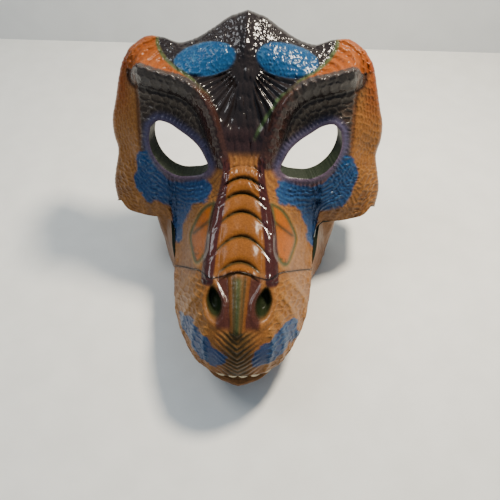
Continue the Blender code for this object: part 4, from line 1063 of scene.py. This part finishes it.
def paint_sockets(coat, at, ridge_highlight):
    """Brown sockets with painted highlight on their scales, grey and brown brows with painted shade in the
    groove under them, a purple ring round each eye and painted shade in the temple folds.
    """
    coat.spray(SOCKET_BROWN, at.socket_zone, 0.7)
    # Pale on the raised lines of the socket scales is painted highlight.
    coat.spray(SOCKET_RIDGE_HIGHLIGHT, 0.55 * at.socket_zone * ridge_highlight)
    inner = smooth_step(42.0, 60.0, at.brow_along)
    coat.spray(BROW_GREY, at.brow_zone * (1 - inner), 0.75)
    coat.spray(BROW_BROWN, at.brow_zone * inner, 0.9)
    # Black in the groove under the brows is painted shade.
    coat.spray(BLACK, 0.9 * brow_groove(at, 2.2))
    coat.spray(EYE_PURPLE, 0.85 * smooth_fall(3.0, 9.0, at.eye) * (at.eye > -1), 0.6)
    # Brown in each temple fold is painted shade.
    coat.spray(BROWN, 0.8 * temple_fold(at, 1.6))


def paint_blue(coat, at, ridge_highlight):
    """The ragged blue patch under each eye, with painted highlight on its raised relief."""
    depth = at.blue + 4.5 * at.wander + 1.5 * at.grain
    cover = smooth_step(-1.2, 1.2, depth) * smooth_step(2.0, 6.0, at.eye)
    coat.spray(DEEP_BLUE, 0.95 * cover, 0.6)
    # Pale blue on the raised relief is painted highlight.
    coat.spray(RIDGE_HIGHLIGHT_BLUE, 0.4 * cover * ridge_highlight)


def paint_snout(coat, at):
    """Tan plates with dark gaps, an orange patch ringed in green on each side, and the maroon stripes."""
    between = smooth_step(0.0, 1.5, at.stripe) * smooth_fall(84, 92, at.up) * smooth_step(12, 16, at.up)
    coat.spray(PLATE_TAN, between, 0.6)
    coat.spray(DARK_GREEN, 0.95 * plate_gap(at) * between)
    patch = smooth_step(-0.5, 0.5, at.patch)
    coat.spray(PATCH_ORANGE, 0.92 * patch, 0.5)
    speckle = smooth_step(0.12, 0.3, at.grain) * smooth_fall(24, 34, at.up)
    coat.spray(DARK_GREEN, 0.7 * patch * speckle)
    bar_gap, _ = follow_curve(at.x, at.up, PATCH_BAR, samples=30)
    coat.spray(DARK_GREEN, 0.8 * patch * bell(bar_gap, 1.5))
    coat.spray(LINE_GREEN, 0.85 * bell(at.patch, 1.5), 0.5)
    width = 3.0 + 2.0 * smooth_fall(45.0, 80.0, at.up)
    stripe = smooth_fall(width - 0.8, width + 0.5, np.abs(at.stripe)) * smooth_step(2, 6, at.up)
    coat.spray(MAROON, 0.97 * stripe * smooth_fall(92, 100, at.up), 0.95)


def paint_nose(coat, at, ridge_highlight):
    """The maroon muzzle, its green and tan keel with painted shade on its left half, the chevrons with
    painted highlight on their ridges, the nostrils, and the blue beside the lip with painted highlight on its
    relief.
    """
    on_nose = at.nose_zone * (at.up < SEAM[0][1] + 1)
    keel = (at.ax < KEEL_TOP_WIDTH) * smooth_step(KEEL_END - 2, KEEL_END + 2, at.up) * on_nose
    beside = smooth_fall(14.0, 17.0, at.ax) * smooth_step(CHEVRON_TOP - 3, CHEVRON_TOP + 3, at.up) * on_nose
    coat.spray(MAROON, 0.9 * beside, 0.85)
    down, half = keel_span(at.up)
    share = at.ax / half
    coat.spray(PLATE_TAN, 0.8 * keel * smooth_fall(0.9, 1.0, share), 0.6)
    # The keel's green is paint, made stronger on its left half, away from the main lamp, as painted shade.
    left_half_shade = smooth_step(-0.5, 0.2, -np.sign(at.x) * share)
    green = bell(share, 0.5) * (0.45 + 0.55 * left_half_shade)
    coat.spray(LINE_GREEN, 0.9 * keel * green)
    dark = np.maximum(bell(share - 0.5, 0.12), 0.7 * green * smooth_step(0.1, 0.6, down))
    coat.spray(DARK_GREEN, 0.8 * keel * dark)
    chevrons = smooth_fall(4.0, 15.0, at.ax + 3.0 * at.wander) * smooth_step(0.0, 3.0, CHEVRON_TOP - at.up)
    # Dark green between the chevron ridges is paint; the ridges are kept pale as painted highlight.
    coat.spray(DARK_GREEN, 0.7 * chevrons * on_nose * (1 - 0.85 * ridge_highlight), 0.6)
    coat.spray(RIDGE_HIGHLIGHT_TAN, 0.3 * chevrons * on_nose * ridge_highlight)
    coat.spray(DARK_GREEN, 0.97 * smooth_fall(0.7, 1.12, nostril_place(at.x, at.up)), 0.5)
    depth = at.nose_blue + 5.5 * at.wander + 2.0 * at.grain
    cover = smooth_step(-0.8, 0.8, depth) * on_nose
    coat.spray(DEEP_BLUE, 0.9 * cover, 0.6)
    # Pale blue on the raised relief is painted highlight.
    coat.spray(RIDGE_HIGHLIGHT_BLUE, 0.35 * cover * ridge_highlight)


def set_paint(thing, coat):
    """Keep the coat on the mesh, for its material to read."""
    mesh = thing.data
    colours = mesh.attributes.new("paint", "FLOAT_COLOR", "POINT")
    rgba = np.concatenate([coat.colour, np.ones((len(coat.colour), 1))], axis=1)
    colours.data.foreach_set("color", rgba.astype(np.float32).ravel())
    gloss = mesh.attributes.new("gloss", "FLOAT", "POINT")
    gloss.data.foreach_set("value", coat.gloss.astype(np.float32))


def set_up_material(name):
    material = bpy.data.materials.new(name)
    material.use_nodes = True
    nodes, links = material.node_tree.nodes, material.node_tree.links
    return material, nodes, links, nodes["Principled BSDF"]


def add_node(nodes, kind, inputs=None):
    """A new shader node, with values for some of its inputs."""
    node = nodes.new(kind)
    for name, value in (inputs or {}).items():
        node.inputs[name].default_value = value
    return node


def add_bump(nodes, links, shader, scale, strength, distance):
    """Fine unevenness from noise fixed to the object."""
    place = add_node(nodes, "ShaderNodeTexCoord")
    noise = add_node(nodes, "ShaderNodeTexNoise", {"Scale": scale, "Detail": 4.0})
    bump = add_node(nodes, "ShaderNodeBump", {"Strength": strength, "Distance": distance})
    links.new(place.outputs["Object"], noise.inputs["Vector"])
    links.new(noise.outputs["Fac"], bump.inputs["Height"])
    links.new(bump.outputs["Normal"], shader.inputs["Normal"])
    return noise


def painted_plastic(name):
    """Sprayed paint over plastic: the mesh holds its colour and gloss, and noise mottles the colour."""
    material, nodes, links, shader = set_up_material(name)
    noise = add_bump(nodes, links, shader, 900.0, 0.12, 0.0004)
    paint, gloss = add_node(nodes, "ShaderNodeAttribute"), add_node(nodes, "ShaderNodeAttribute")
    paint.attribute_name, gloss.attribute_name = "paint", "gloss"
    kind = "ShaderNodeMapRange"
    mottle = add_node(nodes, kind, {"From Min": 0.3, "From Max": 0.7, "To Min": 0.75, "To Max": 1.25})
    rough = add_node(nodes, kind, {"To Min": 0.5, "To Max": 0.12})
    shine = add_node(nodes, kind, {"To Min": -0.2, "To Max": 0.33})
    shade = add_node(nodes, "ShaderNodeVectorMath")
    shade.operation = "SCALE"
    links.new(noise.outputs["Fac"], mottle.inputs["Value"])
    links.new(paint.outputs["Color"], shade.inputs[0])
    links.new(mottle.outputs["Result"], shade.inputs["Scale"])
    links.new(shade.outputs["Vector"], shader.inputs["Base Color"])
    for ramp, target in ((rough, "Roughness"), (shine, "Specular IOR Level")):
        links.new(gloss.outputs["Fac"], ramp.inputs["Value"])
        links.new(ramp.outputs["Result"], shader.inputs[target])
    return material


def plain_plastic(name, dark, pale, roughness, scale=60.0):
    """Unpainted or evenly painted plastic with a faint mottle."""
    material, nodes, links, shader = set_up_material(name)
    noise = add_bump(nodes, links, shader, scale * 12, 0.2, 0.0003)
    ramp = add_node(nodes, "ShaderNodeValToRGB")
    for element, position, colour in zip(ramp.color_ramp.elements, (0.35, 0.65), (dark, pale)):
        element.position = position
        element.color = (*colour, 1.0)
    links.new(noise.outputs["Fac"], ramp.inputs["Fac"])
    links.new(ramp.outputs["Color"], shader.inputs["Base Color"])
    shader.inputs["Roughness"].default_value = roughness
    shader.inputs["Specular IOR Level"].default_value = 0.2
    return material


def fine_object(name, points, faces, kinds, materials):
    """A mesh object from points in millimetres on the part's own axes, with a material number per face."""
    mesh = bpy.data.meshes.new(name)
    mesh.from_pydata([tuple(p) for p in (np.asarray(points) + MOVED) * MM], [], faces)
    for material in materials:
        mesh.materials.append(material)
    mesh.polygons.foreach_set("material_index", np.asarray(kinds, np.int32))
    mesh.validate()
    tidy = bmesh.new()
    tidy.from_mesh(mesh)
    bmesh.ops.remove_doubles(tidy, verts=tidy.verts, dist=0.02 * MM)
    loose = [vertex for vertex in tidy.verts if not vertex.link_faces]
    bmesh.ops.delete(tidy, geom=loose, context="VERTS")
    bmesh.ops.recalc_face_normals(tidy, faces=tidy.faces)
    tidy.to_mesh(mesh)
    tidy.free()
    thing = bpy.data.objects.new(name, mesh)
    bpy.context.scene.collection.objects.link(thing)
    mesh.shade_smooth()
    mesh.set_sharp_from_angle(angle=math.radians(60))
    return thing


def own_places(thing):
    """The mesh's points in millimetres on the part's own axes, and x and up on the face plane."""
    flat = np.zeros(len(thing.data.vertices) * 3, np.float32)
    thing.data.vertices.foreach_get("co", flat)
    points = flat.reshape(-1, 3).astype(float) / MM - MOVED
    x = points[:, 0]
    up = points[:, 1] * math.sin(FACE_LEAN) + points[:, 2] * math.cos(FACE_LEAN)
    return points, x, up


def detailed_face(x, up):
    at = Places(x, up)
    return np.stack([x, up, carved_height(x, up) + fine_relief(at)], axis=-1)


def wall_object(name, outer, inner, painted_faces, materials, on_face_plane=True):
    """One moulding from both sides of its wall, painted outside and bare everywhere else."""
    points, faces = join_walls(outer, inner)
    if on_face_plane:
        points = to_world(*points.T)
    kinds = [0] * painted_faces + [1] * (len(faces) - painted_faces)
    return fine_object(name, points, faces, kinds, materials)


def paint_face(thing):
    """Spray a moulding of the face, by where its points lie on it."""
    _, x, up = own_places(thing)
    at = Places(x, up)
    set_paint(thing, face_paint(at, fine_relief(at)))


def dress(thing, node, body):
    """Hide the node a piece replaces and set the piece on the body it rides."""
    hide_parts(node)
    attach(thing, body)
    return thing


def build_face_shell(painted, bare):
    """Crown, brows, sockets, cheeks and rear snout, with the strap pads and pivots inside."""
    outer_points, outer_faces, outer_border, holes = face_surface(FACE_COLUMNS, FACE_ROWS, outside=True)
    inner_points, inner_faces, inner_border, inner_holes = face_surface(INNER_COLUMNS, INNER_ROWS,
                                                                        outside=False)
    painted_faces = len(outer_faces)
    collar_ends = []
    for loop, (end, thick) in zip(holes, collar_rings(outer_points, holes)):
        previous, rim = loop, outer_points[loop]
        rings = [rim + (end - rim) * step for step in np.linspace(0, 1, COLLAR_RINGS + 1)[1:]] + [thick]
        for ring in rings:
            first = len(outer_points)
            outer_points = np.concatenate([outer_points, ring])
            numbers = list(range(first, first + len(ring)))
            for k in range(len(loop)):
                after = (k + 1) % len(loop)
                outer_faces.append((previous[after], previous[k], numbers[k], numbers[after]))
            previous = numbers
        collar_ends.append(previous)
    order = []
    for end in collar_ends:
        middle = outer_points[end, 0].mean()
        order.append(min(inner_holes, key=lambda hole: abs(inner_points[hole, 0].mean() - middle)))
    shell = wall_object("face_moulding", (outer_points, outer_faces, [outer_border] + collar_ends),
                        (inner_points, inner_faces, [inner_border] + order), painted_faces, [painted, bare])
    add_inner_fittings(shell, [painted, bare])
    paint_face(shell)
    return dress(shell, "face_shell", "face")


def wall_tree(thing):
    """Ray casting tree of an object, in metres."""
    shape = bmesh.new()
    shape.from_mesh(thing.data)
    tree = BVHTree.FromBMesh(shape)
    shape.free()
    return tree


def wall_reaches(tree, side, outline):
    """How far out the wall's inner face is at each (y, z). Past its edge it keeps the nearest reach."""
    starts = [Vector((0.0, (y + MOVED[1]) * MM, (z + MOVED[2]) * MM)) for y, z in outline]
    hits = [tree.ray_cast(start, Vector((side, 0.0, 0.0)))[0] for start in starts]
    found = [k for k, hit in enumerate(hits) if hit is not None]
    nearest = [min(found, key=lambda k: math.dist(outline[k], place)) for place in outline]
    return [abs(hits[k].x) / MM for k in nearest]


def ring_outline(centre, radius, start=0.0):
    """A circle as (y, z) points, its first corner turned by start steps."""
    turns = [(k + start) * 2 * math.pi / ROUND_SIDES for k in range(ROUND_SIDES)]
    return [(centre[0] + radius * math.cos(turn), centre[1] + radius * math.sin(turn)) for turn in turns]


def box_outline(centre, size, steps=3):
    """A rectangle as (y, z) points, with its long sides divided."""
    half_y, half_z = size[0] / 2, size[1] / 2
    rises = [half_z * (2 * k / steps - 1) for k in range(steps + 1)]
    right = [(centre[0] + half_y, centre[1] + rise) for rise in rises]
    left = [(centre[0] - half_y, centre[1] + rise) for rise in reversed(rises)]
    return right + left


def bar_between(outline, starts, ends, materials):
    """A bar along X with the given (y, z) outline, from one x to another, or one for each of its points."""
    count = len(outline)
    points = [(x, y, z) for far in (starts, ends) for x, (y, z) in zip(np.broadcast_to(far, count), outline)]
    faces = [tuple(range(count)), tuple(range(2 * count - 1, count - 1, -1))]
    for k in range(count):
        after = (k + 1) % count
        faces.append((k, count + k, count + after, after))
    return fine_object("bar", points, faces, [1] * len(faces), materials)


def apply_boolean(thing, other, operation):
    """Join a helper object to a thing, or cut it away, and remove the helper."""
    modifier = thing.modifiers.new(operation.title(), "BOOLEAN")
    modifier.operation = operation
    modifier.solver = "MANIFOLD"
    modifier.object = other
    depsgraph = bpy.context.evaluated_depsgraph_get()
    result = bpy.data.meshes.new_from_object(thing.evaluated_get(depsgraph))
    thing.modifiers.clear()
    old = thing.data
    thing.data = result
    bpy.data.meshes.remove(old)
    bpy.data.objects.remove(other)


def add_inner_fittings(shell, materials):
    """The pivots and strap pads inside each cheek, and the slots through the pads."""
    tree = wall_tree(shell)
    arm_inner = JAW_PLAN[1][0] - JAW_WALL
    shoulder_x = arm_inner + JAW_WALL + TOUCH_GAP
    shoulder, pin = ring_outline(HINGE, PIVOT_RADIUS + PIVOT_SHOULDER), ring_outline(HINGE, PIVOT_RADIUS, 0.5)
    pad, slot = box_outline(STRAP_CENTRE, STRAP_PAD), box_outline(STRAP_CENTRE, STRAP_SLOT, 1)
    for side in (1.0, -1.0):
        pad_reaches = wall_reaches(tree, side, pad)
        pad_x = min(pad_reaches) - STRAP_PAD_THICKNESS
        shoulder_root, pad_root = ([side * (reach + WALL / 2) for reach in reaches]
                                   for reaches in (wall_reaches(tree, side, shoulder), pad_reaches))
        fittings = (
            (shoulder, side * shoulder_x, shoulder_root, "UNION"),
            (pin, side * (arm_inner - PIVOT_END), side * (shoulder_x + PIVOT_END), "UNION"),
            (pad, side * pad_x, pad_root, "UNION"),
            (slot, side * (pad_x - 2 * WALL), side * (pad_x + 8 * WALL), "DIFFERENCE"),
        )
        for outline, start, end, operation in fittings:
            apply_boolean(shell, bar_between(outline, start, end, materials), operation)


def build_nose(painted, bare):
    """The front of the snout, from the seam to the lip."""
    fine = mirror_grid(nose_grid(round(FACE_COLUMNS * SEAM_SHARE), NOSE_ROWS))
    coarse = mirror_grid(nose_grid(round(INNER_COLUMNS * SEAM_SHARE), INNER_NOSE_ROWS))
    fine_faces, coarse_faces = grid_faces(*fine.shape[:2]), grid_faces(*coarse.shape[:2])
    outer = detailed_face(*fine.reshape(-1, 2).T)
    inner = inner_face(*coarse.reshape(-1, 2).T)
    nose = wall_object("nose_moulding", (outer, fine_faces, boundary_loops(fine_faces)),
                       (inner, coarse_faces, boundary_loops(coarse_faces)), len(fine_faces), [painted, bare])
    paint_face(nose)
    return dress(nose, "nose_piece", "face")


def plan_point(plan, share):
    """Point on a left-right symmetrical plan curve, share -1 at the left rear, 0 in front, 1 right rear."""
    point = spline(plan, 1 - np.abs(share))
    point[..., 0] *= np.sign(share)
    return point


def height_at(profile, y):
    """Height z of a (y, z) profile, smooth between its points."""
    profile = np.asarray(sorted(profile), float)
    slopes = np.gradient(profile[:, 1], profile[:, 0])
    y = np.clip(y, profile[0, 0], profile[-1, 0])
    span = np.clip(np.searchsorted(profile[:, 0], y, side="right") - 1, 0, len(profile) - 2)
    width = profile[span + 1, 0] - profile[span, 0]
    u = (y - profile[span, 0]) / width
    return hermite(u, width, profile[span, 1], profile[span + 1, 1], slopes[span], slopes[span + 1])


def jaw_surface(share, down):
    """Outer face of the jaw: down 0 at the rim, then the wall, the turn and the flat floor at 1."""
    plan = plan_point(JAW_PLAN, share)
    before = plan_point(JAW_PLAN, np.clip(share - JAW_PLAN_STEP, -1, 1))
    after = plan_point(JAW_PLAN, np.clip(share + JAW_PLAN_STEP, -1, 1))
    along = unit(after - before)
    inwards = np.stack([-along[..., 1], along[..., 0]], axis=-1)
    front = smooth_step(JAW_FRONT_FROM, 1.0, 1 - np.abs(share))
    rim = height_at(JAW_RIM, plan[..., 1])
    foot = JAW_CHIN_RISE * smooth_step(-JAW_REST_FRONT, -JAW_PLAN[-1][1], -plan[..., 1])
    floor = JAW_FLOOR_SIDE + (JAW_FLOOR_FRONT - JAW_FLOOR_SIDE) * front**2
    on_wall = np.clip(down / JAW_WALL_SHARE, 0, 1)
    on_turn = np.clip((down - JAW_WALL_SHARE) / (JAW_TURN_SHARE - JAW_WALL_SHARE), 0, 1)
    on_floor = np.clip((down - JAW_TURN_SHARE) / (1 - JAW_TURN_SHARE), 0, 1)
    angle = on_turn * math.pi / 2
    z = rim + (foot + JAW_FOOT_TURN - rim) * on_wall - JAW_FOOT_TURN * np.sin(angle)
    tuck = smooth_step(*JAW_TUCK_RISE, plan[..., 1]) * smooth_fall(*JAW_TUCK_FALL, plan[..., 1])
    lean = JAW_TUCK * tuck * (1 - on_wall) + JAW_FLARE * (1 - front) * on_wall**2
    inset = JAW_FOOT_TURN * (1 - np.cos(angle)) + floor * on_floor + lean
    chin = CHIN_BULGE * front**3 * np.sin(math.pi * np.clip(down / JAW_TURN_SHARE, 0, 1))
    place = plan + inwards * (inset - chin)[..., None]
    return np.concatenate([place, z[..., None]], axis=-1)


def surface_normal(grid):
    """Unit normals of a grid of points, pointing away from the jaw's inside."""
    along, across = np.gradient(grid, axis=1), np.gradient(grid, axis=0)
    normal = unit(np.cross(across, along))
    return normal if normal[0, -1, 0] >= 0 else -normal


def jaw_grid(columns, rows):
    share, down = np.meshgrid(np.linspace(-1, 1, columns + 1), np.linspace(0, 1, rows + 1))
    return share, down, jaw_surface(share, down)


def build_jaw(painted, bare):
    """The U-shaped lower jaw with its two arms."""
    share, down, outer = jaw_grid(JAW_COLUMNS, JAW_ROWS)
    wrinkle = rough_noise(share * 26, down * 9, 91) + 0.5 * rough_noise(share * 70, down * 30, 95)
    edge_fade = smooth_step(0.0, 0.06, down) * smooth_fall(0.66, 0.75, down)
    outer = outer + surface_normal(outer) * (0.8 * wrinkle * edge_fade)[..., None]
    _, _, coarse = jaw_grid(JAW_INNER_COLUMNS, JAW_INNER_ROWS)
    inner = coarse - JAW_WALL * surface_normal(coarse)
    fine_faces = grid_faces(JAW_ROWS + 1, JAW_COLUMNS + 1)
    coarse_faces = grid_faces(JAW_INNER_ROWS + 1, JAW_INNER_COLUMNS + 1)
    jaw = wall_object("jaw_moulding", (outer.reshape(-1, 3), fine_faces, boundary_loops(fine_faces)),
                      (inner.reshape(-1, 3), coarse_faces, boundary_loops(coarse_faces)), len(fine_faces),
                      [painted, bare], on_face_plane=False)
    bore = ring_outline(HINGE, PIVOT_RADIUS + PIVOT_CLEARANCE)
    for side in (1.0, -1.0):
        start, end = side * (JAW_PLAN[0][0] - 5 * JAW_WALL), side * (JAW_PLAN[0][0] + 5 * JAW_WALL)
        apply_boolean(jaw, bar_between(bore, start, end, [painted, bare]), "DIFFERENCE")
    points, _, _ = own_places(jaw)
    coat = Coat(len(points), JAW_BROWN, 0.55)
    mottle = rough_noise(points[:, 1] / 14 + points[:, 0] / 20, points[:, 2] / 9, 97)
    coat.spray(TAN, 0.6 * smooth_step(-70.0, -20.0, points[:, 1]) * smooth_step(-0.3, 0.3, mottle))
    depth = outline_depth(points[:, 1], points[:, 2], closed_line(JAW_BLUE)) + 5.0 * mottle
    coat.spray(DEEP_BLUE, 0.85 * smooth_step(-1.0, 1.0, depth) * (points[:, 1] > -60))
    set_paint(jaw, coat)
    return dress(jaw, "lower_jaw", "jaw")


def build_teeth(material):
    """A strip of pointed teeth inside the upper lip, taken tooth by tooth from the solid's own line."""
    edge = LIP_FRONT[:-1] + LIP_SIDE[::-1] + MOUTH_EDGE[::-1][1:3]
    half = spline(edge, np.linspace(0, 1, (TEETH_COUNT + 1) * TOOTH_STEPS + 1))
    row = np.concatenate([half[:0:-1] * (-1.0, 1.0), half])
    inner = inner_face(*row.T)
    line = to_world(*inner.T)
    along = unit(np.gradient(line, axis=0))
    inwards = to_world(*(inner - face_normal(*row.T, broad_height)).T) - line
    up_wall = np.cross(along, inwards)
    up_wall = unit(up_wall * np.sign(up_wall[:, 2:]))
    count = len(row)
    phase = (np.arange(count) - count // 2) / (2.0 * TOOTH_STEPS)
    point = np.abs(np.sin(math.pi * phase)) ** 0.8
    front = 1 - smooth_step(*TEETH_FRONT, np.abs(row[:, 0]))
    length = (TOOTH_ROOT + (TOOTH_LENGTH - TOOTH_ROOT) * point + TEETH_FRONT_DROP * front)[:, None]
    middle = inwards * (TEETH_GAP + TOOTH_THICKNESS / 2)
    half_thick = inwards * TOOTH_THICKNESS / 2
    rings = []
    for turn in np.linspace(0, 2 * math.pi, TOOTH_ROUND, endpoint=False):
        height = math.sin(turn)
        slim = 1.0 if height > 0 else 1.0 - 0.45 * abs(height)
        drop = up_wall * (STRIP_HEIGHT * height) if height > 0 else up_wall * (length * height)
        forward = inwards * (TEETH_FORWARD * min(height, 0.0)) * front[:, None]
        rings.append(line + middle + half_thick * (math.cos(turn) * slim) + drop + forward)
    points = np.concatenate(rings)
    faces = [tuple(k * count for k in range(TOOTH_ROUND)),
             tuple((k + 1) * count - 1 for k in reversed(range(TOOTH_ROUND)))]
    for k in range(TOOTH_ROUND):
        first, second = k * count, (k + 1) % TOOTH_ROUND * count
        faces += [(first + i, first + i + 1, second + i + 1, second + i) for i in range(count - 1)]
    teeth = fine_object("teeth_strip", points, faces, [0] * len(faces), [material])
    return dress(teeth, "upper_teeth", "face")


def add_sheet(name, corners, material):
    """A flat sheet of the stage."""
    mesh = bpy.data.meshes.new(name)
    mesh.from_pydata([tuple(value * MM for value in corner) for corner in corners], [], [(0, 1, 2, 3)])
    mesh.materials.append(material)
    thing = bpy.data.objects.new(name, mesh)
    bpy.context.scene.collection.objects.link(thing)


def build_stage():
    """A pale table that ends at a pale backdrop."""
    left, right = -STAGE_HALF_WIDTH, STAGE_HALF_WIDTH
    left_far, right_far = BACKDROP_LINE
    add_sheet("table", ((left, TABLE_NEAR, 0), (right, TABLE_NEAR, 0),
                        (right, right_far, 0), (left, left_far, 0)),
              plain_plastic("table cloth", TABLE_DARK, TABLE_PALE, 0.75, 3.0))
    add_sheet("backdrop", ((left, left_far, BACKDROP_FOOT), (right, right_far, BACKDROP_FOOT),
                           (right, right_far, BACKDROP_TOP), (left, left_far, BACKDROP_TOP)),
              plain_plastic("backdrop", WALL_DARK, WALL_PALE, 0.8, 2.0))


def add_lamp(name, place, size, power, colour):
    """A round lamp that points at the mask."""
    data = bpy.data.lights.new(name, "AREA")
    data.shape = "DISK"
    data.size = size
    data.energy = power
    data.color = colour
    lamp = bpy.data.objects.new(name, data)
    lamp.location = Vector(place) * MM
    lamp.rotation_euler = (Vector(LAMP_TARGET) - Vector(place)).to_track_quat("-Z", "Y").to_euler()
    bpy.context.scene.collection.objects.link(lamp)


def light_scene():
    """A near soft lamp at the upper right, a weaker one behind on the left, and pale light all round."""
    world = bpy.data.worlds.new("room")
    world.use_nodes = True
    background = world.node_tree.nodes["Background"]
    background.inputs["Color"].default_value = ROOM_LIGHT
    background.inputs["Strength"].default_value = ROOM_STRENGTH
    bpy.context.scene.world = world
    for lamp in LAMPS:
        add_lamp(*lamp)


def place_camera():
    data = bpy.data.cameras.new("camera")
    data.sensor_width = SENSOR
    data.lens = FOCAL_SHARE * SENSOR
    camera = bpy.data.objects.new("camera", data)
    camera.location = Vector(np.array(CAMERA_PLACE) + MOVED) * MM
    camera.rotation_euler = (math.pi / 2 - CAMERA_PITCH, 0.0, CAMERA_YAW)
    bpy.context.scene.collection.objects.link(camera)
    bpy.context.scene.camera = camera


def main():
    painted = painted_plastic("painted skin")
    bare = plain_plastic("bare green plastic", BARE_DARK, BARE_PALE, 0.45)
    cream = plain_plastic("tooth cream", TOOTH_DARK, TOOTH_PALE, 0.4)
    build_face_shell(painted, bare)
    build_nose(painted, bare)
    build_jaw(painted, bare)
    build_teeth(cream)
    build_stage()
    light_scene()
    place_camera()


main()
